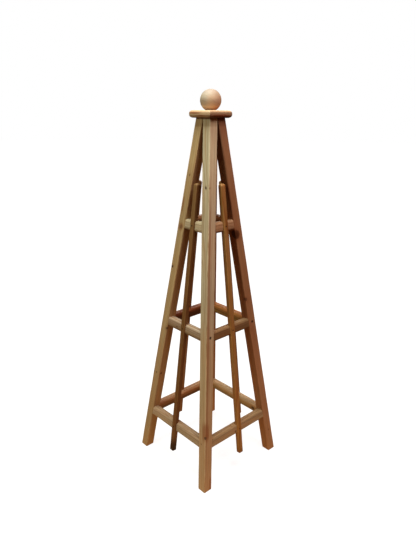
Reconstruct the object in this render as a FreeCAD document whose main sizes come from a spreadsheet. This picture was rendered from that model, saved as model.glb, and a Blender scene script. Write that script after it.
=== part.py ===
import FreeCAD, Part
import os
import Sketcher
from FreeCAD import Vector

# A free-standing timber garden obelisk.
# Four square legs lean in until their heads touch under a bullnosed cap plate with a ball on it.
# Three tiers of rails tie the legs together, and one slat runs up the middle of each side, let
# into the rails. Hidden wooden dowels join most of the rails to the legs. Recessed wood screws
# hold the middle rails at the front and back, the slats and the cap plate.
#
# Frame: millimetres, +Z up, the ground at Z = 0 and the centre of the base at the origin.
# The front faces -Y and the right side faces +X.

# ---------------------------------------------------------------- driving dimensions

SIZES = [
    ("base_width", 504, "across the outer faces of the feet, on the ground"),
    ("leg_size", 45, "side of a leg's square section"),
    ("legs_height", 1672, "from the ground to the underside of the cap plate"),
    ("leg_edge_round", 3, "radius of a leg's long edges"),
    ("foot_chamfer", 2, "chamfer around the sole of a foot"),
    ("rail_height", 48, "height of a rail's section"),
    ("rail_depth", 39, "depth of a rail's section, outside to inside"),
    ("rail_edge_round", 12, "radius of a rail's long edges"),
    ("rail_recess", 1, "how far a rail sits behind the legs' outer faces"),
    ("lower_rail", 225, "height of the middle of a lower rail's outer face"),
    ("middle_rail", 732.5, "height of the middle of a middle rail's outer face"),
    ("upper_rail", 1215.5, "height of the middle of an upper rail's outer face"),
    ("slat_width", 24, "width of a slat across its side"),
    ("slat_depth", 22, "depth of a slat, outside to inside"),
    ("slat_proud", 7, "how far a slat stands out of the legs' outer faces"),
    ("slat_bottom", 96, "height of a slat's lower end"),
    ("slat_top", 1402, "height of a slat's upper end"),
    ("slat_edge_round", 2, "radius of a slat's long edges"),
    ("slat_crown", 10, "radius around a slat's upper end"),
    ("cap_width", 132, "side of the square cap plate"),
    ("cap_thickness", 31, "thickness of the cap plate"),
    ("cap_edge_round", 13, "radius of the cap plate's bullnosed edges"),
    ("ball_radius", 45.5, "radius of the ball finial"),
    ("ball_lift", 40, "height of the ball's centre above the cap plate"),
    ("screw_shank", 5, "diameter of a long wood screw"),
    ("screw_head", 9.5, "diameter of a long wood screw's countersunk head"),
    ("screw_length", 80, "length of a long wood screw"),
    ("screw_bore", 10, "diameter of the recess over a long wood screw"),
    ("screw_point", 1.5, "length of a screw's point, as a multiple of its diameter"),
    ("screw_recess", 12, "depth of a rail screw's head below the leg's face"),
    ("screw_rise", 5, "how far a rail screw is above its rail's middle"),
    ("cap_screw_recess", 1, "depth of a cap screw's head below the cap plate's top"),
    ("slat_screw_shank", 4, "diameter of a slat screw"),
    ("slat_screw_head", 8, "diameter of a slat screw's countersunk head"),
    ("slat_screw_length", 40, "length of a slat screw"),
    ("slat_screw_bore", 8.5, "diameter of the recess over a slat screw"),
    ("slat_screw_recess", 1.5, "depth of a slat screw's head below the slat's face"),
    ("dowel_diameter", 10, "diameter of a wooden dowel between a leg and a rail"),
    ("dowel_length", 60, "length of a wooden dowel, half in the leg and half in the rail"),
    ("dowel_chamfer", 1.5, "chamfer at the ends of a wooden dowel"),
    ("dowel_stagger", 9, "how far a wooden dowel is above or below its rail's middle"),
    ("finial_screw", 8, "diameter of the double-ended screw under the ball"),
    ("finial_in_cap", 25, "length of the double-ended screw inside the cap plate"),
    ("finial_in_ball", 32, "length of the double-ended screw inside the ball"),
]

TIERS = ("lower", "middle", "upper")
SIDES = {"front": 0, "right": 90, "back": 180, "left": 270}
CORNERS = {
    "front_left": (-1, -1),
    "front_right": (1, -1),
    "back_right": (1, 1),
    "back_left": (-1, 1),
}

doc = FreeCAD.newDocument("garden_obelisk")
sheet = doc.addObject("Spreadsheet::Sheet", "Sizes")
for row, (alias, value, meaning) in enumerate(SIZES, start=1):
    sheet.set(f"A{row}", str(value))
    sheet.setAlias(f"A{row}", alias)
    sheet.set(f"B{row}", meaning)
doc.recompute()

# ---------------------------------------------------------------- shared expressions

# The legs' outer faces lie in four side planes. A side plane moves in by LEAN for each
# millimetre of height, so that the legs' inner edges meet at the underside of the cap plate.
LEAN = "((Sizes.base_width / 2 - Sizes.leg_size) / Sizes.legs_height)"
TILT = f"atan({LEAN})"
HALF_LEG = "Sizes.leg_size / 2"
ALONG_X = "vector(1; 0; 0)"
ALONG_Y = "vector(0; 1; 0)"
ALONG_Z = "vector(0; 0; 1)"


def outer(height):
    """Distance of a side plane from the central axis at a height."""
    return f"(Sizes.base_width / 2 - {LEAN} * ({height}))"


def rail_height_of(tier):
    return f"Sizes.{tier}_rail"


def placed(position, *turns):
    """Expression for a placement: a position and the turns applied to it, the outermost first."""
    rotation = " * ".join(f"rotation({axis}; {angle})" for axis, angle in turns)
    return f"placement({position}; {rotation or f'rotation({ALONG_Z}; 0)'})"


def on_side(side, height, out="0", *turns):
    """Placement on a side plane at a height, moved out along the plane's normal."""
    turn = SIDES[side]
    distance = f"({outer(height)} + ({out}) * cos({TILT}))"
    rise = f"(({out}) * sin({TILT}))"
    position = f"vector({distance} * sin({turn}); -{distance} * cos({turn}); {height} + {rise})"
    return placed(position, (ALONG_Z, turn), *turns)


# ---------------------------------------------------------------- sketch helpers

NEARLY_PARALLEL = 0.9
SAME_HEIGHT = 1e-6


def new_body(name, placement=None):
    body = doc.addObject("PartDesign::Body", name)
    if placement:
        body.setExpression("Placement", placement)
    return body


def origin_plane(body, role):
    return next(plane for plane in body.Origin.OriginFeatures if plane.Role == role)


def new_sketch(body, role, name):
    sketch = body.newObject("Sketcher::SketchObject", name)
    sketch.AttachmentSupport = [(origin_plane(body, role), "")]
    sketch.MapMode = "FlatFace"
    return sketch


def drive(sketch, kind, geometry, point, expression):
    """Ties one coordinate of a sketch point to an expression."""
    index = sketch.addConstraint(Sketcher.Constraint(kind, -1, 1, geometry, point, 1.0))
    sketch.setExpression(f"Constraints[{index}]", expression)


def add_outline(sketch, corners):
    """Adds a closed straight-sided outline whose corners are pairs of expressions."""
    first = sketch.GeometryCount
    count = len(corners)
    # Any simple starting shape will do: a convex ring of points that the constraints then move.
    turns = [FreeCAD.Rotation(Vector(0, 0, 1), 360 * index / count) for index in range(count)]
    start = [turn.multVec(Vector(1, 0, 0)) for turn in turns]
    for index in range(count):
        line = Part.LineSegment(start[index], start[(index + 1) % count])
        sketch.addGeometry(line, False)
    for index in range(count):
        after = first + (index + 1) % count
        sketch.addConstraint(Sketcher.Constraint("Coincident", first + index, 2, after, 1))
    for index, (across, up) in enumerate(corners):
        drive(sketch, "DistanceX", first + index, 1, across)
        drive(sketch, "DistanceY", first + index, 1, up)


def outline_sketch(body, role, name, *outlines):
    sketch = new_sketch(body, role, name)
    for corners in outlines:
        add_outline(sketch, corners)
    return sketch


def rectangle(low_x, high_x, low_y, high_y):
    return [(low_x, low_y), (high_x, low_y), (high_x, high_y), (low_x, high_y)]


def pad(body, name, sketch, length, midplane=False):
    feature = body.newObject("PartDesign::Pad", name)
    feature.Profile = sketch
    feature.setExpression("Length", length)
    feature.Midplane = midplane
    return feature


def pocket_both_ways(body, name, sketch, length):
    """Cuts a sketch's outlines out of a body, equally far to both sides of the sketch."""
    before = body.Shape.Volume
    feature = body.newObject("PartDesign::Pocket", name)
    feature.Profile = sketch
    feature.Midplane = True
    feature.setExpression("Length", length)
    doc.recompute()
    if not feature.Shape.Volume < before:
        raise RuntimeError(f"{name} removed nothing from {body.Label}")
    return feature


def round_edges(body, name, base, radius, wanted):
    """Fillets the edges of a feature that wanted() picks out."""
    doc.recompute()
    edges = [f"Edge{i}" for i, edge in enumerate(base.Shape.Edges, start=1) if wanted(edge)]
    feature = body.newObject("PartDesign::Fillet", name)
    feature.Base = (base, edges)
    feature.setExpression("Radius", radius)
    doc.recompute()
    return feature


def runs_along(edge, direction):
    """True for a straight edge that runs nearly along a direction."""
    if edge.Curve.TypeId != "Part::GeomLine":
        return False
    return abs(edge.tangentAt(edge.FirstParameter).dot(direction)) > NEARLY_PARALLEL


def lies_at_height(edge, height):
    return all(abs(vertex.Z - height) < SAME_HEIGHT for vertex in edge.Vertexes)


# ---------------------------------------------------------------- fasteners and dowels


def screw_profile(shank, head, length, tip):
    """Half outline of a countersunk screw: its head's top at zero, its point below."""
    return [
        ("0", "0"),
        (f"{head} / 2", "0"),
        (f"{shank} / 2", f"-({head} - {shank}) / 2"),
        (f"{shank} / 2", f"-({length} - {tip})"),
        ("0", f"-{length}"),
    ]


def bore_profile(shank, head, length, tip, bore, rise):
    """Half outline of the hole for that screw, with a straight recess above its head."""
    screw = screw_profile(shank, head, length, tip)
    recess = [("0", rise), (f"{bore} / 2", rise), (f"{bore} / 2", "0")]
    return recess + screw[1:]


def revolved(name, profile):
    body = new_body(name)
    sketch = outline_sketch(body, "XZ_Plane", f"{name}_profile", profile)
    turn = body.newObject("PartDesign::Revolution", f"{name}_turned")
    turn.Profile = sketch
    turn.ReferenceAxis = (sketch, ["V_Axis"])
    turn.Angle = 360
    return body


def fastener(kind, family, rise):
    """Makes a screw and its bore, which every joint of that kind repeats."""
    shank = f"Sizes.{family}_shank"
    head = f"Sizes.{family}_head"
    length = f"Sizes.{family}_length"
    tip = f"(Sizes.screw_point * {shank})"
    screw = revolved(kind, screw_profile(shank, head, length, tip))
    bore = revolved(f"{kind}_bore", bore_profile(shank, head, length, tip, f"Sizes.{family}_bore", rise))
    return screw, bore


# A bore's recess runs on out of the wood, so that it also opens a face that leans.
long_screw, long_bore = fastener("long_screw", "screw", "Sizes.screw_recess + Sizes.screw_bore / 2")
slat_screw, slat_bore = fastener("slat_screw", "slat_screw", "2 * Sizes.slat_screw_recess")


def dowel_profile():
    """Half outline of a wooden dowel with chamfered ends, its middle at zero."""
    radius = "Sizes.dowel_diameter / 2"
    half = "Sizes.dowel_length / 2"
    neck = f"{radius} - Sizes.dowel_chamfer"
    flank = f"{half} - Sizes.dowel_chamfer"
    return [
        ("0", f"-{half}"),
        (neck, f"-{half}"),
        (radius, f"-({flank})"),
        (radius, flank),
        (neck, half),
        ("0", half),
    ]


dowel = revolved("rail_dowel", dowel_profile())


def joint_placement(tier, corner, into_front_or_back, rise, head_depth):
    """Where a screw or dowel between a leg and a rail lies, with its own Z axis out of the leg.

    It is level. One that enters a front or back rail runs along X, and one that enters a side
    rail runs along Y. The head depth is how far its origin is behind the leg's outer face.
    """
    across, along = CORNERS[corner]
    sink = f"(Sizes.rail_recess + Sizes.rail_depth / 2) * sin({TILT})"
    height = f"({rail_height_of(tier)} - {sink} + {rise})"
    head = f"({outer(height)} - {head_depth})"
    middle = f"({outer(height)} - {HALF_LEG})"
    if into_front_or_back:
        position = f"vector({across} * {head}; {along} * {middle}; {height})"
        return placed(position, (ALONG_Y, 90 * across))
    position = f"vector({across} * {middle}; {along} * {head}; {height})"
    return placed(position, (ALONG_X, -90 * along))


def rail_screw_placement(tier, corner):
    """A rail screw goes through a leg's side face, into the end of a front or back rail."""
    return joint_placement(tier, corner, True, "Sizes.screw_rise", "Sizes.screw_recess")


def rail_dowel_placement(tier, corner, into_front_or_back):
    """A dowel lies half in the leg and half in the rail.

    The two dowels of one corner are staggered, so that they pass each other inside the leg.
    """
    rise = "Sizes.dowel_stagger" if into_front_or_back else "-Sizes.dowel_stagger"
    return joint_placement(tier, corner, into_front_or_back, rise, "Sizes.leg_size")


def slat_screw_placement(tier, side):
    """A slat screw goes square through a slat's outer face, into the rail behind it."""
    out = "Sizes.slat_proud - Sizes.slat_screw_recess"
    return on_side(side, rail_height_of(tier), out, (ALONG_X, f"(90 deg - {TILT})"))


def cap_screw_placement(corner):
    """A cap screw goes straight down through the cap plate, into the head of a leg."""
    across, along = CORNERS[corner]
    height = "Sizes.legs_height + Sizes.cap_thickness - Sizes.cap_screw_recess"
    return placed(f"vector({across} * {HALF_LEG}; {along} * {HALF_LEG}; {height})")


def copies(name, master, placements):
    """One object that holds a copy of the master at each placement."""
    links = []
    for index, placement in enumerate(placements):
        link = doc.addObject("App::Link", f"{name}_{index}")
        link.LinkedObject = master
        link.setExpression("Placement", placement)
        links.append(link)
    group = doc.addObject("Part::Compound", name)
    group.Links = links
    return group


# Every rail has two ends, named by tier, corner and whether the rail is a front or back one.
rail_ends = [(tier, corner, facing) for tier in TIERS for corner in CORNERS for facing in (True, False)]
crossings = [(tier, side) for tier in TIERS for side in SIDES]


def is_screwed(end):
    """Only the middle rails at the front and back are screwed on; the others are dowelled."""
    tier, _, facing = end
    return tier == "middle" and facing


screwed_ends = [end for end in rail_ends if is_screwed(end)]
dowelled_ends = [end for end in rail_ends if not is_screwed(end)]

# ---------------------------------------------------------------- timber


def bored(name, blank, bores):
    """The finished piece: the blank with its screw holes drilled."""
    piece = doc.addObject("Part::Cut", name)
    piece.Base = blank
    piece.Tool = bores
    piece.Label = name
    return piece


def bores_at(name, ends, long_placements=(), slat_placements=()):
    """All the holes of one piece: those at its rail ends, and other long and slat screws'."""
    screws = [rail_screw_placement(tier, corner) for tier, corner, _ in filter(is_screwed, ends)]
    screws += long_placements
    dowels = [rail_dowel_placement(*end) for end in ends if not is_screwed(end)]
    families = (("long", long_bore, screws), ("slat", slat_bore, slat_placements), ("dowel", dowel, dowels))
    group = doc.addObject("Part::Compound", f"{name}_bores")
    group.Links = [
        copies(f"{name}_{kind}_bores", master, places) for kind, master, places in families if places
    ]
    return group


def make_leg(corner):
    """A leg: a square section padded along its double lean, cut level at foot and head."""
    across, along = CORNERS[corner]
    name = f"leg_{corner}"
    reach = "(Sizes.base_width - Sizes.leg_size) / 2"
    foot = placed(f"vector({across} * {reach}; {along} * {reach}; 0)")
    body = new_body(f"{name}_blank", foot)
    square = rectangle(f"-{HALF_LEG}", HALF_LEG, f"-{HALF_LEG}", HALF_LEG)
    sketch = outline_sketch(body, "XY_Plane", f"{name}_section", square)
    post = pad(body, f"{name}_post", sketch, "Sizes.legs_height")
    post.UseCustomVector = True
    post.AlongSketchNormal = True
    post.setExpression("Direction.x", f"-{across} * {LEAN}")
    post.setExpression("Direction.y", f"-{along} * {LEAN}")
    post.setExpression("Direction.z", "1")
    eased = round_edges(
        body, f"{name}_edges", post, "Sizes.leg_edge_round", lambda edge: runs_along(edge, Vector(0, 0, 1))
    )
    sole = [f"Edge{i}" for i, edge in enumerate(eased.Shape.Edges, start=1) if lies_at_height(edge, 0)]
    chamfer = body.newObject("PartDesign::Chamfer", f"{name}_sole")
    chamfer.Base = (eased, sole)
    chamfer.setExpression("Size", "Sizes.foot_chamfer")
    ends = [end for end in rail_ends if end[1] == corner]
    return bored(name, body, bores_at(name, ends, [cap_screw_placement(corner)]))


def rail_corner(depth, rise):
    """A point of a rail's leaning section, by depth behind the side plane and rise along it."""
    inward = f"(({depth}) * cos({TILT}) + ({rise}) * sin({TILT}))"
    up = f"(({rise}) * cos({TILT}) - ({depth}) * sin({TILT}))"
    return inward, up


def ends_of_rail(tier, side):
    """The two ends of one rail."""
    facing = {"front": ("front_left", "front_right"), "back": ("back_left", "back_right")}
    flanks = {"left": ("front_left", "back_left"), "right": ("front_right", "back_right")}
    corners = {**facing, **flanks}[side]
    return [(tier, corner, side in facing) for corner in corners]


def make_rail(tier, side):
    """A rail: rounded section, ends cut to the legs' leaning faces, notched for the slat."""
    name = f"{tier}_rail_{side}"
    height = rail_height_of(tier)
    body = new_body(f"{name}_blank", on_side(side, height))
    half_height = "Sizes.rail_height / 2"
    back = "Sizes.rail_recess + Sizes.rail_depth"
    section = [
        rail_corner("Sizes.rail_recess", f"-{half_height}"),
        rail_corner(back, f"-{half_height}"),
        rail_corner(back, half_height),
        rail_corner("Sizes.rail_recess", half_height),
    ]
    sketch = outline_sketch(body, "YZ_Plane", f"{name}_section", section)
    bar = pad(body, f"{name}_bar", sketch, f"2 * {outer(height)}", midplane=True)
    round_edges(
        body, f"{name}_edges", bar, "Sizes.rail_edge_round", lambda edge: runs_along(edge, Vector(1, 0, 0))
    )
    # The cuts reach a rail's height above and below its middle, and well past its ends and faces.
    half_end = f"({outer(height)} - Sizes.leg_size)"
    above = "Sizes.rail_height"
    beyond = f"(2 * {outer(height)})"
    through = "(4 * Sizes.rail_depth)"
    waste = []
    for hand in (-1, 1):
        waste.append([
            (f"{hand} * ({half_end} + {LEAN} * {above})", f"-{above}"),
            (f"{hand} * {beyond}", f"-{above}"),
            (f"{hand} * {beyond}", above),
            (f"{hand} * ({half_end} - {LEAN} * {above})", above),
        ])
    ends = outline_sketch(body, "XZ_Plane", f"{name}_end_lines", *waste)
    pocket_both_ways(body, f"{name}_ends", ends, through)
    housing = "(Sizes.slat_depth - Sizes.slat_proud)"
    notch = [
        rail_corner("-Sizes.slat_proud", f"-{above}"),
        rail_corner(housing, f"-{above}"),
        rail_corner(housing, above),
        rail_corner("-Sizes.slat_proud", above),
    ]
    notch_sketch = outline_sketch(body, "YZ_Plane", f"{name}_notch_line", notch)
    pocket_both_ways(body, f"{name}_notch", notch_sketch, "Sizes.slat_width")
    bores = bores_at(name, ends_of_rail(tier, side), [], [slat_screw_placement(tier, side)])
    return bored(name, body, bores)


def make_slat(side):
    """A slat: a slim square-cut bar in its leaning side plane, with a rounded upper end."""
    name = f"slat_{side}"
    body = new_body(f"{name}_blank", on_side(side, "Sizes.slat_bottom", "0", (ALONG_X, f"-{TILT}")))
    half_width = "Sizes.slat_width / 2"
    section = rectangle(
        f"-{half_width}", half_width, "-Sizes.slat_proud", "Sizes.slat_depth - Sizes.slat_proud"
    )
    sketch = outline_sketch(body, "XY_Plane", f"{name}_section", section)
    length = f"(Sizes.slat_top - Sizes.slat_bottom) / cos({TILT})"
    bar = pad(body, f"{name}_bar", sketch, length)
    eased = round_edges(
        body, f"{name}_edges", bar, "Sizes.slat_edge_round", lambda edge: runs_along(edge, Vector(0, 0, 1))
    )
    top = eased.Shape.BoundBox.ZMax
    round_edges(body, f"{name}_crown", eased, "Sizes.slat_crown", lambda edge: lies_at_height(edge, top))
    bores = bores_at(name, [], [], [slat_screw_placement(tier, side) for tier in TIERS])
    return bored(name, body, bores)


# ---------------------------------------------------------------- cap and finial


def make_finial_screw():
    """The double-ended screw that holds the ball: half in the cap plate, half in the ball."""
    radius = "Sizes.finial_screw / 2"
    point = "Sizes.finial_screw"
    profile = [
        ("0", "-Sizes.finial_in_cap"),
        (radius, f"-Sizes.finial_in_cap + {point}"),
        (radius, f"Sizes.finial_in_ball - {point}"),
        ("0", "Sizes.finial_in_ball"),
    ]
    body = revolved("finial_dowel_screw", profile)
    body.setExpression("Placement", placed("vector(0; 0; Sizes.legs_height + Sizes.cap_thickness)"))
    return body


def make_cap_plate(finial_screw):
    """The cap plate: a square with bullnosed edges, screwed down on the legs' heads."""
    body = new_body("cap_plate_blank", placed("vector(0; 0; Sizes.legs_height)"))
    half = "Sizes.cap_width / 2"
    sketch = outline_sketch(body, "XY_Plane", "cap_outline", rectangle(f"-{half}", half, f"-{half}", half))
    slab = pad(body, "cap_slab", sketch, "Sizes.cap_thickness")
    doc.recompute()
    thickness = slab.Shape.BoundBox.ZMax
    round_edges(
        body,
        "cap_bullnose",
        slab,
        "Sizes.cap_edge_round",
        lambda edge: lies_at_height(edge, 0) or lies_at_height(edge, thickness),
    )
    screws = bores_at("cap_plate", [], [cap_screw_placement(corner) for corner in CORNERS])
    tools = doc.addObject("Part::Compound", "cap_plate_tools")
    tools.Links = [screws, finial_screw]
    return bored("cap_plate", body, tools)


def make_ball(finial_screw):
    """The ball finial: a turned ball with a flat foot on the cap plate."""
    height = "Sizes.legs_height + Sizes.cap_thickness + Sizes.ball_lift"
    body = new_body("ball_finial_blank", placed(f"vector(0; 0; {height})"))
    ball = body.newObject("PartDesign::AdditiveSphere", "ball")
    ball.setExpression("Radius", "Sizes.ball_radius")
    ball.setExpression("Angle1", "-asin(Sizes.ball_lift / Sizes.ball_radius)")
    return bored("ball_finial", body, finial_screw)


# ---------------------------------------------------------------- assembly

pieces = [make_leg(corner) for corner in CORNERS]
pieces += [make_rail(tier, side) for tier in TIERS for side in SIDES]
pieces += [make_slat(side) for side in SIDES]
finial = make_finial_screw()
pieces += [finial, make_cap_plate(finial), make_ball(finial)]
for tier_name in TIERS:
    places = [rail_dowel_placement(*end) for end in dowelled_ends if end[0] == tier_name]
    pieces.append(copies(f"{tier_name}_rail_dowels", dowel, places))
rail_screw_places = [rail_screw_placement(tier, corner) for tier, corner, _ in screwed_ends]
pieces.append(copies("middle_rail_screws", long_screw, rail_screw_places))
pieces.append(copies("slat_screws", slat_screw, [slat_screw_placement(*spot) for spot in crossings]))
pieces.append(copies("cap_screws", long_screw, [cap_screw_placement(corner) for corner in CORNERS]))
doc.recompute()

# ---------------------------------------------------------------- checks and export

for item in doc.Objects:
    if "Invalid" in item.State or "Error" in item.State:
        raise RuntimeError(f"{item.Label} failed: {item.State}")
for piece in pieces:
    if piece.Shape.isNull() or not piece.Shape.isValid():
        raise RuntimeError(f"{piece.Label} has no valid shape")

os.makedirs("parts", exist_ok=True)
for piece in pieces:
    piece.Shape.exportStep(f"parts/{piece.Label}.step")
    print(f"{piece.Label}: {len(piece.Shape.Solids)} solid(s), {piece.Shape.Volume / 1000:.2f} cm3")
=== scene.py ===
"""Looks of the garden obelisk: solid-textured softwood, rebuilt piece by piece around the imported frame."""

import math

import bpy
import numpy as np
from mathutils import Matrix, Vector


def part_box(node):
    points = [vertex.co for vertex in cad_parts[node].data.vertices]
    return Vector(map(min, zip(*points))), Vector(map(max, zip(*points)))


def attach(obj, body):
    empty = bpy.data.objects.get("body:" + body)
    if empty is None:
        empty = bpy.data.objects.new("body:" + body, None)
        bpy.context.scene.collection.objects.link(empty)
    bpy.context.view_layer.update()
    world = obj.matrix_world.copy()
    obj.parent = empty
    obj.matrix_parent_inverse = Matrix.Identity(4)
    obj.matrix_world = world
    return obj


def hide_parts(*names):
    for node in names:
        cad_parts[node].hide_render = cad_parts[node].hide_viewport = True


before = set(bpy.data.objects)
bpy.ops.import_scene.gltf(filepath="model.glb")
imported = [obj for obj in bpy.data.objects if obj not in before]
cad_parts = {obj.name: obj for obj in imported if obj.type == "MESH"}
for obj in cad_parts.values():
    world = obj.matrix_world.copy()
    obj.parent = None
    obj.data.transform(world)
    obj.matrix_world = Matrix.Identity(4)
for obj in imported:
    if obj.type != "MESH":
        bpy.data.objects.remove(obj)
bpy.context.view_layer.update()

# ---------------------------------------------------------------- sizes, in metres

MM = 0.001
LEG_SIZE = 45 * MM
LEG_ROUND = 3 * MM
FOOT_CHAMFER = 2 * MM
RAIL_HEIGHT = 48 * MM
RAIL_DEPTH = 39 * MM
RAIL_ROUND = 12 * MM
RAIL_RECESS = 1 * MM
SLAT_WIDTH = 24 * MM
SLAT_DEPTH = 22 * MM
SLAT_PROUD = 7 * MM
SLAT_ROUND = 2 * MM
SLAT_CHAMFER = 1 * MM
SLAT_CROWN = 10 * MM
CAP_ROUND = 13 * MM
CAP_CORNER = 1.5 * MM
CAP_CORNER_WEAR = 0.3 * MM
CAP_FLAT_RINGS = (30 * MM, 18 * MM)
BALL_LIFT = 40 * MM
BALL_EASING = 1.2 * MM
BALL_FOOT_RISE = 0.5 * MM
TOOL_RING = 0.05 * MM
TOOL_RINGS = 190
LONG_SCREW = {"shank": 5 * MM, "head": 9.5 * MM, "length": 80 * MM, "bore": 10 * MM}
SLAT_SCREW = {"shank": 4 * MM, "head": 8 * MM, "length": 40 * MM, "bore": 8.5 * MM}
SCREW_POINT = 1.5
RAIL_SCREW_RECESS = 12 * MM
RAIL_SCREW_RISE = 5 * MM
SLAT_SCREW_RECESS = 1.5 * MM
CAP_SCREW_RECESS = 1 * MM
SLAT_BORE_RISE = 4 * MM
CAP_BORE_RISE = 3 * MM
DOWEL = {
    "diameter": 10 * MM, "length": 60 * MM, "chamfer": 1.5 * MM, "stagger": 9 * MM,
    "flutes": 18, "groove": 0.25 * MM,
}
FINIAL_SCREW = {"diameter": 8 * MM, "in_cap": 25 * MM, "in_ball": 32 * MM}
BORE_SIDES = 40
DOWEL_SIDES = 32

TIERS = ("lower", "middle", "upper")
SIDES = {"front": 0, "right": 90, "back": 180, "left": 270}
CORNERS = {"front_left": (-1, -1), "front_right": (1, -1), "back_right": (1, 1), "back_left": (-1, 1)}

RIGHT = Vector((1, 0, 0))
BACK = Vector((0, 1, 0))
UP = Vector((0, 0, 1))
U, V, W = range(3)  # a board's own axes: two across it, and W along its grain

# ---------------------------------------------------------------- places, read from the frame

leg_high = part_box("leg_front_right")[1]
LEGS_HEIGHT = leg_high.z
LEAN = (leg_high.x - LEG_SIZE) / (LEGS_HEIGHT - FOOT_CHAMFER)
TILT = math.atan(LEAN)
HALF_BASE = LEG_SIZE + LEAN * LEGS_HEIGHT
HALF_LEG = LEG_SIZE / 2
RAIL_SINK = RAIL_RECESS + RAIL_DEPTH / 2

cap_low, cap_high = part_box("cap_plate")
ball_low, ball_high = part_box("ball_finial")
BALL_RADIUS = (ball_high.x - ball_low.x) / 2


def outer(height):
    """Distance of a side plane from the central axis at a height."""
    return HALF_BASE - LEAN * height


def rail_height_of(tier):
    """Height of the middle of a rail's outer face."""
    low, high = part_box(f"{tier}_rail_front")
    return (low.z + high.z) / 2 + RAIL_SINK * math.sin(TILT)


def frame_matrix(u, v, w, origin):
    """Matrix that takes a board's own axes, w along its grain, to the row frame."""
    return Matrix.Translation(origin) @ Matrix((u, v, w)).transposed().to_4x4()


def side_turn(side):
    return Matrix.Rotation(math.radians(SIDES[side]), 4, "Z")


def inward():
    """Into the wood, square to the front side plane."""
    return Vector((0, math.cos(TILT), -math.sin(TILT)))


def upward():
    """Up the slope of the front side plane."""
    return Vector((0, math.sin(TILT), math.cos(TILT)))


def leg_place(corner):
    across, along = CORNERS[corner]
    reach = HALF_BASE - HALF_LEG
    axis = Vector((-across * LEAN, -along * LEAN, 1))
    return frame_matrix(RIGHT, BACK, axis, Vector((across * reach, along * reach, 0)))


def rail_place(tier, side):
    height = rail_height_of(tier)
    middle = Vector((0, -outer(height), height)) + RAIL_SINK * inward()
    return side_turn(side) @ frame_matrix(inward(), upward(), RIGHT, middle)


def slat_bottom(side):
    """Height at which a slat's lower end crosses its side plane."""
    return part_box(f"slat_{side}")[0].z + (SLAT_DEPTH - SLAT_PROUD) * math.sin(TILT)


def slat_place(side):
    bottom = slat_bottom(side)
    foot = Vector((0, -outer(bottom), bottom)) + (SLAT_DEPTH / 2 - SLAT_PROUD) * inward()
    return side_turn(side) @ frame_matrix(RIGHT, inward(), upward(), foot)


def slat_length(side):
    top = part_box(f"slat_{side}")[1].z
    crown_middle = top - SLAT_CROWN - (SLAT_PROUD - SLAT_CROWN) * math.sin(TILT)
    return (crown_middle - slat_bottom(side)) / math.cos(TILT) + SLAT_CROWN


def screw_matrix(head, direction):
    """Matrix for a screw that points along its own -Z, with its head's top at the origin."""
    turn = (-direction).to_track_quat("Z", "Y").to_matrix().to_4x4()
    return Matrix.Translation(head) @ turn


def joint_matrix(tier, corner, into_front_or_back, rise, depth):
    """A screw or dowel between a leg and a rail: level, its origin a depth behind the leg's face."""
    across, along = CORNERS[corner]
    height = rail_height_of(tier) - RAIL_SINK * math.sin(TILT) + rise
    head = outer(height) - depth
    middle = outer(height) - HALF_LEG
    if into_front_or_back:
        return screw_matrix(Vector((across * head, along * middle, height)), -across * RIGHT)
    return screw_matrix(Vector((across * middle, along * head, height)), -along * BACK)


def rail_screw_matrix(end):
    return joint_matrix(*end, RAIL_SCREW_RISE, RAIL_SCREW_RECESS)


def rail_dowel_matrix(end):
    """A dowel's middle lies where the leg meets the rail, above or below the rail's own middle."""
    _, _, into_front_or_back = end
    rise = DOWEL["stagger"] if into_front_or_back else -DOWEL["stagger"]
    return joint_matrix(*end, rise, LEG_SIZE)


def slat_screw_matrix(tier, side):
    height = rail_height_of(tier)
    head = Vector((0, -outer(height), height)) - (SLAT_PROUD - SLAT_SCREW_RECESS) * inward()
    return side_turn(side) @ screw_matrix(head, inward())


def cap_screw_matrix(corner):
    across, along = CORNERS[corner]
    head = Vector((across * HALF_LEG, along * HALF_LEG, cap_high.z - CAP_SCREW_RECESS))
    return screw_matrix(head, Vector((0, 0, -1)))


RAIL_ENDS = [(tier, corner, face) for tier in TIERS for corner in CORNERS for face in (True, False)]
CROSSINGS = [(tier, side) for tier in TIERS for side in SIDES]


def is_screwed(end):
    """Only the middle rails at the front and back are screwed on; the others are dowelled."""
    tier, _, into_front_or_back = end
    return tier == "middle" and into_front_or_back


# ---------------------------------------------------------------- mesh helpers


def in_scene(name, data):
    """A new object in the scene."""
    thing = bpy.data.objects.new(name, data)
    bpy.context.scene.collection.objects.link(thing)
    return thing


def mesh_from(name, mesh_data):
    verts, faces = mesh_data
    mesh = bpy.data.meshes.new(name)
    mesh.from_pydata([tuple(v) for v in verts], [], faces)
    return mesh


def new_piece(name, mesh_data, material, node):
    """A mesh object that rides on the root and stands for a CAD node."""
    mesh = mesh_from(name, mesh_data)
    mesh.validate()
    mesh.materials.append(material)
    piece = in_scene(name, mesh)
    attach(piece, "root")
    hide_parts(node)
    return piece


def smooth(mesh, degrees=32):
    mesh.shade_smooth()
    mesh.set_sharp_from_angle(angle=math.radians(degrees))


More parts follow.
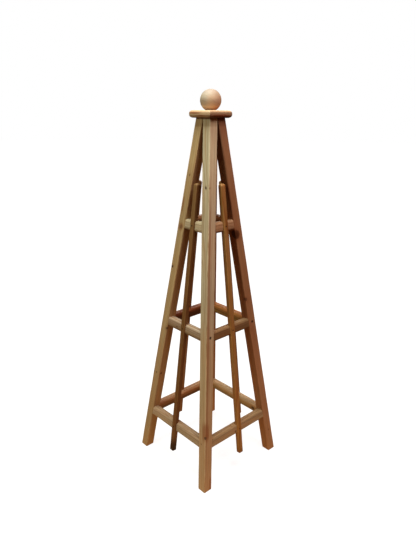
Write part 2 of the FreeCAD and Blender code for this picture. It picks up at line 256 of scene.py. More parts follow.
def rounded_rectangle(width, depth, radius, side_cuts, corner_cuts):
    """Points and outward directions round a rounded rectangle, anticlockwise from its +X side."""
    points, normals, corner = [], [], []
    for quarter in range(4):
        turn = quarter * math.pi / 2
        half_across = (width if quarter % 2 == 0 else depth) / 2
        half_along = (depth if quarter % 2 == 0 else width) / 2
        ahead = np.array((math.cos(turn), math.sin(turn)))
        left = np.array((-math.sin(turn), math.cos(turn)))
        flat = half_along - radius
        for cut in range(side_cuts):
            along = -flat + 2 * flat * cut / side_cuts
            points.append(ahead * half_across + left * along)
            normals.append(ahead)
            corner.append(0.0)
        for cut in range(corner_cuts):
            angle = math.pi / 2 * cut / corner_cuts
            way = ahead * math.cos(angle) + left * math.sin(angle)
            points.append(ahead * (half_across - radius) + left * flat + way * radius)
            normals.append(way)
            corner.append(math.sin(2 * angle))
    return np.array(points), np.array(normals), np.array(corner)


def skin(rings):
    """A closed mesh over rings of points, from the low end up. A ring of one point closes an end."""
    verts, faces, starts = [], [], []
    for ring in rings:
        starts.append(len(verts))
        verts += ring
    for low, high, below, above in zip(starts, starts[1:], rings, rings[1:]):
        around = max(len(below), len(above))
        for k in range(around):
            after = (k + 1) % around
            if len(below) == 1:
                faces.append((low, high + after, high + k))
            elif len(above) == 1:
                faces.append((low + k, low + after, high))
            else:
                faces.append((low + k, low + after, high + after, high + k))
    if len(rings[0]) > 1:
        faces.append(tuple(reversed(range(len(rings[0])))))
    if len(rings[-1]) > 1:
        faces.append(tuple(range(starts[-1], len(verts))))
    return verts, faces


def circle(radius, height, around=32):
    turns = [2 * math.pi * k / around for k in range(around)]
    return [(radius * math.cos(turn), radius * math.sin(turn), height) for turn in turns]


def turned(profile, around):
    """Mesh of a half outline: (radius, height) pairs, from one end of the axis up to the other."""
    return skin([circle(radius, height, around if radius else 1) for radius, height in profile])


def stations(length, spacing):
    """Even steps along a board, without its two ends."""
    count = max(2, round(length / spacing))
    return [length * step / count for step in range(1, count)]


def relief(seed, size):
    """Slow hollows and swellings of a planed face: a few seeded waves along and around a board."""
    random = np.random.default_rng(seed)
    waves = []
    for order in range(7):
        waves.append((
            random.uniform(4, 60) * (1 + order / 2),
            random.integers(1, 4),
            random.uniform(0, 2 * math.pi),
            size / (1 + order),
        ))

    def height(angle, along):
        return sum(
            depth * np.sin(pitch * along + turns * angle + phase) for pitch, turns, phase, depth in waves
        )

    return height


def worn(seed, depth):
    """How far a long edge is rubbed away: never outwards, more in some stretches than others."""
    random = np.random.default_rng(seed)
    waves = [(random.uniform(9, 40) * (1 + k), random.uniform(0, 6.28), 1 / (1 + k)) for k in range(5)]
    dents = [(random.uniform(0, 1.7), random.uniform(0, 6.28), random.uniform(2, 6) * MM) for _ in range(7)]

    def amount(angle, along):
        rub = sum(part * np.sin(pitch * along + phase + angle) for pitch, phase, part in waves)
        rub = depth * np.clip(0.35 + 0.3 * rub, 0, 1)
        for place, side, reach in dents:
            near = np.exp(-(((along - place) / reach) ** 2)) * np.clip(np.cos(angle - side), 0, 1) ** 8
            rub = rub + 0.9 * depth * near
        return rub

    return amount


def cut_with(piece, tools):
    """Cuts closed tool meshes out of a piece for good, and leaves a plain mesh."""
    verts, faces = [], []
    for tool_verts, tool_faces in tools:
        start = len(verts)
        verts += tool_verts
        faces += [tuple(start + index for index in face) for face in tool_faces]
    mesh = mesh_from("tools", (verts, faces))
    for material in piece.data.materials:
        mesh.materials.append(material)
    tool = in_scene("tools", mesh)
    cut = piece.modifiers.new("cut", "BOOLEAN")
    cut.operation = "DIFFERENCE"
    cut.solver = "EXACT"
    cut.use_self = False
    cut.object = tool
    bpy.context.view_layer.update()
    depsgraph = bpy.context.evaluated_depsgraph_get()
    result = bpy.data.meshes.new_from_object(piece.evaluated_get(depsgraph), depsgraph=depsgraph)
    piece.modifiers.clear()
    old = piece.data
    piece.data = result
    bpy.data.meshes.remove(old)
    bpy.data.objects.remove(tool)
    bpy.data.meshes.remove(mesh)


def moved(mesh_data, matrix):
    verts, faces = mesh_data
    return [matrix @ Vector(v) for v in verts], faces


def bore(screw, rise):
    """The hole for a screw: its point, its shank, its countersink and a straight recess above."""
    shank, head, length = screw["shank"] / 2, screw["head"] / 2, screw["length"]
    profile = [
        (0, -length),
        (shank, -length + SCREW_POINT * screw["shank"]),
        (shank, -(head - shank)),
        (head, 0),
        (screw["bore"] / 2, 0),
        (screw["bore"] / 2, rise),
        (0, rise),
    ]
    return turned(profile, BORE_SIDES)


def dowel_hole():
    """The hole that a dowel fills, its middle at the origin."""
    radius, half, chamfer = DOWEL["diameter"] / 2, DOWEL["length"] / 2, DOWEL["chamfer"]
    profile = [
        (0, -half),
        (radius - chamfer, -half),
        (radius, chamfer - half),
        (radius, half - chamfer),
        (radius - chamfer, half),
        (0, half),
    ]
    return turned(profile, DOWEL_SIDES)


def end_holes(ends, rise):
    """The holes at some rail ends, for screws or dowels."""
    holes = []
    for end in ends:
        if is_screwed(end):
            holes.append(moved(bore(LONG_SCREW, rise), rail_screw_matrix(end)))
        else:
            holes.append(moved(dowel_hole(), rail_dowel_matrix(end)))
    return holes


# ---------------------------------------------------------------- node helpers


class Nodes:
    """Short calls that add nodes to one tree and return their outputs."""

    def __init__(self, tree):
        self.tree = tree

    def feed(self, socket, value):
        if isinstance(value, bpy.types.NodeSocket):
            self.tree.links.new(value, socket)
        elif value is not None:
            socket.default_value = value

    def add(self, kind, sockets=None, **settings):
        node = self.tree.nodes.new(kind)
        for name, value in settings.items():
            setattr(node, name, value)
        for key, value in (sockets or {}).items():
            self.feed(node.inputs[key], value)
        return node

    def math(self, operation, first, second=None, third=None):
        sockets = {0: first, 1: second, 2: third}
        return self.add("ShaderNodeMath", sockets, operation=operation).outputs[0]

    def times(self, *values):
        """The product of some values."""
        product = values[0]
        for value in values[1:]:
            product = self.math("MULTIPLY", product, value)
        return product

    def line(self, value, slope, start):
        return self.math("MULTIPLY_ADD", value, slope, start)

    def about_one(self, value, swing):
        """A value from 0 to 1, as a factor that swings about 1."""
        return self.line(value, swing, 1 - swing / 2)

    def vector(self, operation, first, second=None, scale=None):
        sockets = {0: first, 1: second}
        if scale is not None:
            sockets["Scale"] = scale
        node = self.add("ShaderNodeVectorMath", sockets, operation=operation)
        return node.outputs["Value" if operation in ("DOT_PRODUCT", "LENGTH", "DISTANCE") else "Vector"]

    def step(self, value, low, high, to_low=0.0, to_high=1.0):
        """Smooth step of a value from one range to another."""
        sockets = {"Value": value, "From Min": low, "From Max": high, "To Min": to_low, "To Max": to_high}
        node = self.add("ShaderNodeMapRange", sockets, interpolation_type="SMOOTHSTEP")
        return node.outputs["Result"]

    def noise(self, vector, scale, detail=2.0, roughness=0.5, colour=False):
        sockets = {"Vector": vector, "Scale": scale, "Detail": detail, "Roughness": roughness}
        return self.add("ShaderNodeTexNoise", sockets).outputs[1 if colour else 0]

    def stretched(self, vector, along):
        return self.vector("MULTIPLY", vector, (1.0, 1.0, along))

    def grained(self, board, kind, colour=False):
        """One of the grain's noises, drawn out along the board."""
        along, *recipe = GRAIN_NOISE[kind]
        return self.noise(self.stretched(board, along), *recipe, colour=colour)

    def mix(self, factor, first, second):
        node = self.add("ShaderNodeMix", {0: factor, 6: first, 7: second}, data_type="RGBA")
        return node.outputs[2]

    def parts(self, vector):
        return self.add("ShaderNodeSeparateXYZ", {0: vector}).outputs

    def joined(self, x, y, z):
        return self.add("ShaderNodeCombineXYZ", {0: x, 1: y, 2: z}).outputs[0]

    def group(self, group, **sockets):
        node = self.add("ShaderNodeGroup", node_tree=group)
        for name, value in sockets.items():
            self.feed(node.inputs[name], value)
        return node.outputs

    def surface(self, sockets, height, strength, depth):
        """The shader of a solid: its sockets, and fine relief from a height."""
        bump = self.add("ShaderNodeBump", {"Strength": strength, "Distance": depth, "Height": height})
        shader = self.add("ShaderNodeBsdfPrincipled", {**sockets, "Normal": bump.outputs[0]})
        self.add("ShaderNodeOutputMaterial", {"Surface": shader.outputs[0]})

    def seen_or_lit_by(self, seen, lit, output):
        """One shader for the camera to see, and another for everything else to be lit by."""
        camera = self.add("ShaderNodeLightPath").outputs["Is Camera Ray"]
        both = self.add("ShaderNodeMixShader", {0: camera, 1: lit.outputs[0], 2: seen.outputs[0]})
        self.add(output, {"Surface": both.outputs[0]})


def fresh_nodes(owner):
    """Short calls for a new material or world, emptied of its first nodes."""
    owner.use_nodes = True
    owner.node_tree.nodes.clear()
    return Nodes(owner.node_tree)


def new_group(name, inputs, outputs):
    """An empty node group with typed sockets, and its inputs and output node."""
    tree = bpy.data.node_groups.new(name, "ShaderNodeTree")
    for way, sockets in (("INPUT", inputs), ("OUTPUT", outputs)):
        for socket, kind in sockets.items():
            tree.interface.new_socket(name=socket, in_out=way, socket_type=f"NodeSocket{kind}")
    nodes = Nodes(tree)
    source = nodes.add("NodeGroupInput").outputs
    sink = nodes.add("NodeGroupOutput").inputs
    return tree, nodes, source, sink


def linear(red, green, blue):
    """A colour given as 0 to 255 screen values, as the linear values that shaders use."""
    def one(value):
        share = value / 255
        return share / 12.92 if share <= 0.04045 else ((share + 0.055) / 1.055) ** 2.4
    return (one(red), one(green), one(blue), 1.0)


# ---------------------------------------------------------------- wood


KNOT_SLENDER = 0.72  # a knot is longer along the grain than across it
KNOT_RINGS = 2.4
KNOT_PULL = 0.9
KNOT_PULL_FADE = 0.3
GRAIN_WANDER = {"drift": 16 * MM, "wobble": 2.2 * MM}
GRAIN_NOISE = {  # how far it is squeezed along the board, then its scale, detail and roughness
    "drift": (0.3, 7.0, 2.0, 0.5),
    "wobble": (0.16, 42.0, 2.0, 0.5),
    "patch": (0.35, 11.0, 2.0, 0.5),
    "streak": (0.03, 150.0, 3.0, 0.55),
    "fibre": (0.022, 1500.0, 3.0, 0.6),
    "duct": (0.035, 900.0, 1.0, 0.5),
    "stain": (0.12, 140.0, 3.0, 0.5),
    "wear": (0.3, 60.0, 3.0, 0.5),
}
MIDDLE_GREY = (0.5, 0.5, 0.5)


def knot_group():
    """A knot: a branch along an axis. The grain is pushed aside around it, and its rim is dark."""
    tree, n, source, sink = new_group(
        "knot",
        {"Board": "Vector", "Centre": "Vector", "Axis": "Vector", "Radius": "Float", "Depth": "Float"},
        {"Board": "Vector", "Knot": "Float", "Rim": "Float", "Halo": "Float", "Rings": "Float"},
    )
    board = source["Board"]
    offset = n.vector("SUBTRACT", board, source["Centre"])
    across = n.vector("CROSS_PRODUCT", source["Axis"], (0.0, 0.0, 1.0))
    side = n.vector("DOT_PRODUCT", offset, across)
    along = n.parts(offset)[2]
    deep = n.vector("DOT_PRODUCT", offset, source["Axis"])
    flat = n.math("SQRT", n.math("ADD", n.times(side, side), n.times(along, along, KNOT_SLENDER)))
    ragged = n.line(n.noise(board, 110.0, 2.0), 0.5, -0.25)
    reach = n.math("ADD", n.math("DIVIDE", flat, source["Radius"]), ragged)
    nearly = n.times(source["Depth"], 0.8)
    present = n.step(n.math("ABSOLUTE", deep), nearly, source["Depth"], 1.0, 0.0)
    pull = n.math("EXPONENT", n.times(reach, reach, -KNOT_PULL_FADE))
    pull = n.times(pull, present, n.times(side, -KNOT_PULL))
    n.feed(sink["Board"], n.vector("ADD", board, n.vector("SCALE", across, scale=pull)))
    n.feed(sink["Knot"], n.times(n.step(reach, 0.75, 1.0, 1.0, 0.0), present))
    rim = n.times(n.step(reach, 0.7, 0.95), n.step(reach, 1.0, 1.3, 1.0, 0.0))
    n.feed(sink["Rim"], n.times(rim, present))
    n.feed(sink["Halo"], n.times(n.step(reach, 0.9, 2.8, 1.0, 0.0), present))
    n.feed(sink["Rings"], n.math("PINGPONG", n.times(reach, KNOT_RINGS), 1.0))
    return tree


def stain_group():
    """A long soft-edged streak of darker wood, such as resin or heartwood that breaks the surface; it also
    paints shade, in screw recesses and on the cap.
    """
    tree, n, source, sink = new_group(
        "stain",
        {"Board": "Vector", "Centre": "Vector", "Reach": "Vector", "Ragged": "Float"},
        {"Stain": "Float"},
    )
    offset = n.vector("DIVIDE", n.vector("SUBTRACT", source["Board"], source["Centre"]), source["Reach"])
    broken = n.math("SUBTRACT", n.grained(source["Board"], "stain"), 0.5)
    reach = n.line(broken, source["Ragged"], n.vector("LENGTH", offset))
    n.feed(sink["Stain"], n.step(reach, 0.35, 1.05, 1.0, 0.0))
    return tree


def grain_group():
    """Planed softwood as a solid: growth rings about a pith, fibres, streaks and resin ducts."""
    tree, n, source, sink = new_group(
        "grain",
        {"Board": "Vector", "Pith": "Vector", "Lean": "Vector", "Ring": "Float"},
        {"Late": "Float", "Streak": "Float", "Fibre": "Float", "Patch": "Float", "Duct": "Float"},
    )
    board = source["Board"]
    wander = [(n.grained(board, kind, colour=True), size) for kind, size in GRAIN_WANDER.items()]
    for way, size in wander:
        way = n.vector("SUBTRACT", way, MIDDLE_GREY)
        board = n.vector("ADD", board, n.vector("MULTIPLY", way, (size, size, 0.0)))
    height = n.parts(board)[2]
    centre = n.vector("ADD", source["Pith"], n.vector("SCALE", source["Lean"], scale=height))
    from_pith = n.vector("MULTIPLY", n.vector("SUBTRACT", board, centre), (1.0, 1.0, 0.0))
    ring = n.math("DIVIDE", n.vector("LENGTH", from_pith), source["Ring"])
    slow = {"W": n.times(ring, 0.6), "Scale": 1.0, "Detail": 1.0}
    uneven = n.add("ShaderNodeTexNoise", slow, noise_dimensions="1D").outputs[0]
    ring = n.line(uneven, 1.4, ring)
    year = n.add("ShaderNodeTexWhiteNoise", {"W": n.math("FLOOR", ring)}, noise_dimensions="1D").outputs[0]
    season = n.math("FRACT", ring)
    late = n.times(n.step(season, 0.3, 0.9), n.step(season, 0.9, 1.0, 1.0, 0.0), n.line(year, 0.55, 0.45))
    duct = n.step(n.grained(board, "duct"), 0.7, 0.76)
    n.feed(sink["Late"], late)
    n.feed(sink["Streak"], n.grained(board, "streak"))
    n.feed(sink["Fibre"], n.grained(board, "fibre"))
    n.feed(sink["Patch"], n.grained(source["Board"], "patch"))
    n.feed(sink["Duct"], n.times(duct, n.line(late, 0.7, 0.3)))
    return tree


KNOT = knot_group()
STAIN_AND_SHADE = stain_group()
GRAIN = grain_group()

WOOD = {
    "early": linear(214, 184, 140),
    "late": linear(176, 126, 76),
    "heart": linear(168, 112, 70),
    "knot": linear(92, 52, 28),
    "bark_and_shade": linear(34, 18, 10),
    "stain": linear(156, 90, 50),
    "bloom": linear(178, 170, 140),
}
PLAIN_WOOD = {
    "tint": (1.0, 1.0, 1.0),
    "pith": (0.05, 0.03),  # the tree's middle, beside the board's own foot
    "lean": (0.01, 0.006),  # how far the pith moves over each metre of the board
    "ring": 3.2,  # a year's ring, in millimetres
    "contrast": 0.75,  # of late wood
    "heart": 0.5,  # share of reddish heartwood
    "streaks": 0.5,
    "patches": 0.3,
    "slope": 0.0,  # how much darker each metre up the board is
    "ends": 0.5,  # how much darker the cut ends are
    "rough": 0.5,
    "knots": (),
    "stains_and_shades": (),
    # painted shade over a leg's screw recesses
    "holes": (),
    "tones": (),
}
SLOPE_MIDDLE = 0.8  # height, in metres, where a slope changes nothing
SHADE = {"fibre": 0.3, "duct": 0.55, "halo": 0.3, "core": 0.85, "rim": 0.7, "bloom": 0.15}
RAISED = {"fibre": 0.5, "late": 0.35, "duct": -0.5, "rim": -1.2}
ROUGHER = {"fibre": 0.16, "late": -0.07, "knot": -0.08, "rubbed": -0.08}
GRAIN_RELIEF = 0.4 * MM


def board_position(n, place):
    """The surface point in a board's own axes, whichever way the board leans."""
    point = n.add("ShaderNodeTexCoord").outputs["Object"]
    back = place.inverted()
    parts = []
    for row in range(3):
        turned_part = n.vector("DOT_PRODUCT", point, tuple(back[row][:3]))
        parts.append(n.math("ADD", turned_part, back[row][3]))
    return n.joined(*parts)


def wood_material(name, place, look, seed, half=None):
    """Softwood for one board: its place, its look, and half its size where its long edges are worn."""
    look = {**PLAIN_WOOD, **look}
    material = bpy.data.materials.new(name)
    n = fresh_nodes(material)
    wood = {part: (*(a * b for a, b in zip(colour, look["tint"])), 1.0) for part, colour in WOOD.items()}
    raw = board_position(n, place)
    board, knots = knots_in(n, raw, look["knots"])
    shift = np.random.default_rng(seed).uniform(-3, 3, 3).tolist()
    texture = n.vector("ADD", board, shift)
    grain = grain_in(n, texture, shift, look)
    colour = grain_colour(n, grain, n.parts(raw)[W], look, wood)
    height = n.line(grain["Fibre"], RAISED["fibre"], n.times(grain["Late"], RAISED["late"]))
    height = n.line(grain["Duct"], RAISED["duct"], height)
    rough = n.line(grain["Fibre"], ROUGHER["fibre"], look["rough"] - ROUGHER["fibre"] / 2)
    rough = n.line(grain["Late"], ROUGHER["late"], rough)
    colour = darker_ends(n, place, colour, look["ends"])
    colour = stained_and_shaded(n, colour, board, look["stains_and_shades"], wood["stain"])
    # painted shade in the screw recesses, in the dark bark colour
    colour = stained_and_shaded(n, colour, raw, look["holes"], WOOD["bark_and_shade"])
    colour, height, rough = knotted(n, knots, colour, height, rough, wood)
    if half:
        colour, rough = worn_edges(n, raw, half, colour, rough, texture)
    bloom = n.step(n.noise(texture, 5.0, 3.0), 0.45, 0.75)
    colour = n.mix(n.times(bloom, SHADE["bloom"]), colour, wood["bloom"])
    colour = toned(n, colour, n.parts(raw), look["tones"])
    sockets = {"Base Color": colour, "Roughness": rough, "Specular IOR Level": 0.4}
    n.surface(sockets, height, 0.6, GRAIN_RELIEF)
    return material


def knots_in(n, board, knots):
    """Each knot's outputs and strength, and the board's position once they push its grain aside."""
    found = []
    for knot in knots:
        places = {"Centre": knot["at"], "Axis": knot["axis"]}
        out = n.group(KNOT, Board=board, **places, Radius=knot["size"], Depth=knot["depth"])
        board = out["Board"]
        found.append((out, knot["dark"]))
    return board, found


def grain_in(n, texture, shift, look):
    """Rings and fibres. The pith leans about the board's own foot, so the shift is taken back out."""
    pith, lean = look["pith"], look["lean"]
    centre = [pith[i] + shift[i] - lean[i] * shift[2] for i in range(2)]
    return n.group(GRAIN, Board=texture, Pith=(*centre, 0.0), Lean=(*lean, 0.0), Ring=look["ring"] * MM)


def grain_colour(n, grain, along, look, wood):
    """Pale early wood, darker late wood, heartwood and resin ducts, shaded in streaks and patches."""
    colour = n.mix(n.times(grain["Late"], look["contrast"]), wood["early"], wood["late"])
    heartwood = n.step(n.line(grain["Streak"], 0.5, grain["Patch"]), 0.62, 1.0)
    colour = n.mix(n.times(heartwood, look["heart"]), colour, wood["heart"])
    shade = n.times(
        n.about_one(grain["Streak"], look["streaks"]),
        n.about_one(grain["Patch"], look["patches"]),
        n.about_one(grain["Fibre"], SHADE["fibre"]),
        n.line(along, -look["slope"], 1 + SLOPE_MIDDLE * look["slope"]),
    )
    colour = n.vector("SCALE", colour, scale=shade)
    return n.mix(n.times(grain["Duct"], SHADE["duct"]), colour, wood["knot"])


def stained_and_shaded(n, colour, board, stains_and_shades, paint):
    for stain in stains_and_shades:
        out = n.group(STAIN_AND_SHADE, Board=board, Centre=stain["at"], Reach=stain["reach"], Ragged=stain["ragged"])
        colour = n.mix(n.times(out["Stain"], stain["dark"]), colour, paint)
    return colour


def knotted(n, knots, colour, height, rough, wood):
    """Each knot has a reddish halo, a ringed core and a dark sunken rim."""
    for out, dark in knots:
        knot = n.times(out["Knot"], dark)
        rim = n.times(out["Rim"], dark)
        core = n.mix(out["Rings"], wood["knot"], wood["bark_and_shade"])
        colour = n.mix(n.times(out["Halo"], SHADE["halo"]), colour, wood["heart"])
        colour = n.mix(n.times(knot, SHADE["core"]), colour, core)
        colour = n.mix(n.times(rim, SHADE["rim"]), colour, WOOD["bark_and_shade"])
        height = n.line(rim, RAISED["rim"], height)
        rough = n.line(knot, ROUGHER["knot"], rough)
    return colour, height, rough


def toned(n, colour, parts, tones):
    """Slow changes of colour along the board's axes, painted light and shade among them."""
    for tone in tones:
        share = n.times(*(n.step(parts[axis], start, stop) for axis, start, stop in tone["where"]))
        colour = n.mix(share, colour, n.vector("MULTIPLY", colour, tone["tone"]))
    return colour


END_SHADE = (0.5, 0.42, 0.38)


def darker_ends(n, place, colour, strength):
    """Cut ends of the fibres look darker than the faces along them."""
    normal = n.add("ShaderNodeTexCoord").outputs["Normal"]
    along = (place.to_3x3() @ UP).normalized()
    facing = n.math("ABSOLUTE", n.vector("DOT_PRODUCT", normal, tuple(along)))
    end = n.times(n.step(facing, 0.5, 0.95), strength)
    return n.mix(end, colour, n.vector("MULTIPLY", colour, END_SHADE))


EDGE_START = 4.5 * MM
EDGE_FULL = 0.8 * MM
RUBBED = {"share": 0.35, "shade": 1.35}
GRIMY = {"share": 0.3, "shade": 0.6}


def worn_edges(n, raw, half, colour, rough, texture):
    """Long edges are rubbed: paler and smoother in some stretches, grimy in others."""
    edge = n.times(*(
        n.step(n.math("ABSOLUTE", part), reach - EDGE_START, reach - EDGE_FULL)
        for part, reach in zip(n.parts(raw), half)
    ))
    broken = n.grained(texture, "wear")
    rubbed = n.times(edge, n.step(broken, 0.4, 0.6))
    grimy = n.times(edge, n.step(broken, 0.52, 0.38))
    for where, change in ((rubbed, RUBBED), (grimy, GRIMY)):
        changed = n.vector("SCALE", colour, scale=change["shade"])
        colour = n.mix(n.times(where, change["share"]), colour, changed)
    return colour, n.line(rubbed, ROUGHER["rubbed"], rough)


# ---------------------------------------------------------------- how each board looks

FACE = {"front": (0, -1, 0), "back": (0, 1, 0), "right": (1, 0, 0), "left": (-1, 0, 0)}
FACE_OUT = HALF_LEG / MM


def in_metres(lengths):
    return tuple(length * MM for length in lengths)


def knot_at(at, axis, size, dark=1.0, depth=30):
    """A knot about a place on a board's surface, in millimetres: its axis, radius, strength and depth."""
    return {"at": in_metres(at), "axis": tuple(axis), "size": size * MM, "dark": dark, "depth": depth * MM}


def knot_on(face, across, up, size, dark=1.0, depth=30):
    """A knot on a face of a leg: how far across the face and up the leg."""
    axis = FACE[face]
    at = (axis[0] * FACE_OUT, across, up) if axis[0] else (across, axis[1] * FACE_OUT, up)
    return knot_at(at, axis, size, dark, depth)


def knot_on_arris(first, second, up, size, dark=1.0, depth=30):
    """A knot that breaks out on the edge between two faces of a leg."""
    both = Vector(FACE[first]) + Vector(FACE[second])
    at = (both.x * FACE_OUT, both.y * FACE_OUT, up)
    return knot_at(at, both.normalized(), size, dark, depth)


def stain_or_shade_on(at, reach, dark, ragged=1.1):
    """A stain, or a patch of painted shade, in a board, in millimetres: its middle and reach, then its
    strength and how broken it is.
    """
    return {"at": in_metres(at), "reach": in_metres(reach), "dark": dark, "ragged": ragged}


def tone_along(axis, start, stop, tone, within=None):
    """A slow change of colour along one of a board's axes, between two places in millimetres.

    Given a second axis and two places along it, the change comes on there as well.
    """
    where = [(axis, start * MM, stop * MM)]
    if within:
        where.append((within[0], within[1] * MM, within[2] * MM))
    return {"where": where, "tone": tone}


# painted shade under the cap's overhang, over the top of each leg
PAINTED_SHADE_UNDER_CAP = tone_along(W, 1632, 1644, (0.74, 0.70, 0.66))

LEG_LOOKS = {
    "front_right": {
        "tint": (1.00, 1.01, 1.05), "pith": (-0.030, 0.062), "lean": (0.006, 0.012), "ring": 3.4,
        "heart": 0.35, "streaks": 0.75, "contrast": 0.85, "slope": -0.03,
        "tones": [
            tone_along(W, 650, 850, (0.98, 1.08, 1.20)),
            tone_along(U, 17, 22, (1.08, 1.12, 1.10)),
            PAINTED_SHADE_UNDER_CAP,
        ],
        "knots": [
            knot_on("front", 3, 1388, 4.8),
            knot_on("right", -17, 1388, 3.0, 0.3, 12),
            knot_on_arris("front", "right", 271, 5.5, 0.9, 14),
            knot_on("front", -4, 231, 2.6, 0.5),
            knot_on("left", 5, 620, 5.0, 0.8),
            knot_on("back", -6, 1010, 6.0, 0.8),
        ],
        "stains_and_shades": [
            stain_or_shade_on((22, -14, 800), (4, 11, 830), 0.6, 0.5),
            stain_or_shade_on((22, -10, 1200), (3, 6, 190), 0.35, 0.8),
            stain_or_shade_on((19, -17, 300), (28, 24, 62), 0.72, 1.0),
            stain_or_shade_on((22, 15, 25), (8, 14, 60), 0.6, 0.7),
        ],
    },
    "front_left": {
        "tint": (0.81, 0.78, 0.70), "pith": (0.050, 0.048), "lean": (-0.010, 0.004), "ring": 3.0,
        "heart": 0.35, "streaks": 0.75, "contrast": 0.85,
        "tones": [
            tone_along(W, 200, 400, (1.15, 1.18, 1.24)),
            tone_along(W, 600, 850, (0.94, 0.88, 0.82)),
            tone_along(W, 1050, 1250, (0.93, 0.94, 0.95)),
            tone_along(W, 1400, 1500, (1.16, 1.16, 1.15)),
            PAINTED_SHADE_UNDER_CAP,
        ],
        "knots": [
            knot_on("front", 0, 1432, 3.2, 0.7),
            knot_on("front", 0, 1199, 7.0, 0.45, 16),
            knot_on("front", -12, 1005, 5.0, 1.0),
            knot_on_arris("front", "right", 695, 5.0, 0.8, 16),
            knot_on("front", 1, 444, 3.6, 0.8),
            knot_on("front", -18, 444, 2.4, 0.7),
            knot_on("right", -10, 441, 4.0, 0.9),
            knot_on("left", 6, 860, 6.0, 0.8),
        ],
        "stains_and_shades": [
            stain_or_shade_on((-2, -22, 1199), (20, 6, 26), 0.5, 0.9),
            stain_or_shade_on((-11, -22, 1300), (9, 6, 50), 0.55, 0.9),
            stain_or_shade_on((-20, -22, 560), (5, 6, 420), 0.3, 0.9),
        ],
    },
    "back_right": {
        "tint": (0.63, 0.47, 0.40), "pith": (0.020, -0.058), "lean": (0.008, -0.008), "ring": 3.8,
        "heart": 0.6, "streaks": 0.75, "contrast": 0.85, "slope": 0.22,
        "tones": [
            tone_along(W, 200, 400, (1.12, 1.05, 1.02)),
            tone_along(W, 600, 850, (0.84, 0.77, 0.73)),
            tone_along(U, 14, 22, (1.18, 1.27, 1.38)),
            tone_along(V, -14, -21, (0.78, 0.86, 0.85), (W, 1150, 1350)),
            PAINTED_SHADE_UNDER_CAP,
        ],
        "knots": [
            knot_on_arris("front", "right", 1169, 16.0, 0.95, 30),
            knot_on_arris("front", "right", 855, 6.5, 0.75, 20),
            knot_on("back", 4, 560, 6.5, 0.8),
            knot_on("right", 2, 120, 3.0, 0.5),
        ],
        "stains_and_shades": [
            stain_or_shade_on((22, -20, 1165), (10, 22, 34), 0.45, 0.8),
            stain_or_shade_on((18, -22, 1440), (14, 8, 260), 0.5, 0.7),
        ],
    },
    "back_left": {
        "tint": (0.80, 0.62, 0.50), "pith": (-0.040, -0.044), "lean": (0.004, 0.010), "ring": 3.3,
        "heart": 0.5, "streaks": 0.7, "contrast": 0.85,
        "knots": [
            knot_on("left", 3, 1120, 6.0, 0.9),
            knot_on("back", -7, 700, 7.5, 0.9),
            knot_on("left", -10, 330, 4.5, 0.7),
        ],
    },
}

# Each rail's tint, partly its wood and partly painted shade; then painted light and shade over its top edge,
# painted light and shade over its bottom edge, and a change over its outer face that takes painted shade
# back off the outer faces of some back and left rails.
RAIL_COLOURS_AND_PAINTED_SHADING = {
    "lower_front": ((0.82, 0.85, 0.99), (0.78, 0.67, 0.60), (1.12, 1.20, 1.22), (1.00, 1.00, 1.00)),
    "lower_right": ((0.82, 0.84, 0.84), (0.78, 0.69, 0.59), (1.08, 1.16, 1.16), (1.00, 1.00, 1.00)),
    "lower_back": ((0.85, 0.77, 0.66), (1.45, 1.60, 1.90), (0.62, 0.68, 0.66), (1.00, 1.00, 1.00)),
    "lower_left": ((0.61, 0.44, 0.34), (1.55, 1.70, 1.95), (0.50, 0.50, 0.42), (1.00, 1.05, 1.10)),
    "middle_front": ((0.74, 0.72, 0.86), (1.10, 1.12, 1.18), (0.80, 0.74, 0.62), (1.00, 1.00, 1.00)),
    "middle_right": ((0.47, 0.37, 0.29), (1.10, 1.12, 1.12), (1.00, 1.00, 0.94), (1.00, 1.00, 1.00)),
    "middle_back": ((0.79, 0.52, 0.29), (1.30, 1.15, 1.05), (0.66, 0.80, 0.80), (0.92, 1.05, 1.45)),
    "middle_left": ((0.31, 0.12, 0.07), (1.60, 1.60, 1.30), (0.60, 0.58, 0.45), (1.80, 3.20, 4.00)),
    "upper_front": ((0.90, 0.97, 1.13), (0.92, 0.92, 0.90), (1.03, 1.03, 1.03), (1.00, 1.00, 1.00)),
    "upper_right": ((0.74, 0.58, 0.53), (0.88, 0.88, 0.90), (1.00, 1.00, 1.00), (1.00, 1.00, 1.00)),
    "upper_back": ((0.38, 0.17, 0.10), (1.20, 1.20, 1.10), (0.70, 0.70, 0.60), (1.45, 2.30, 3.00)),
    "upper_left": ((0.61, 0.45, 0.36), (1.20, 1.20, 1.20), (0.70, 0.70, 0.60), (1.00, 1.00, 1.00)),
}
SLAT_TINTS = {
    "front": (0.41, 0.28, 0.17),
    "right": (0.81, 0.58, 0.30),
    "back": (0.62, 0.48, 0.36),
    "left": (0.62, 0.48, 0.36),
}
SLAT_TONES_AND_HIGHLIGHT = {
    "front": [
        tone_along(W, 85, 25, (0.16, 0.11, 0.08)),
        tone_along(W, 1000, 1250, (1.10, 1.25, 1.40)),
        tone_along(U, 7, 11, (0.62, 0.56, 0.46), (W, 900, 1250)),
    ],
    "right": [
        tone_along(W, 45, 0, (0.70, 0.60, 0.55)),
        tone_along(W, 150, 350, (1.12, 1.16, 1.22)),
        tone_along(W, 500, 1000, (0.70, 0.64, 0.62)),
        # painted highlight on the crown
        tone_along(W, 1296, 1308, (1.30, 1.40, 1.60)),
    ],
}
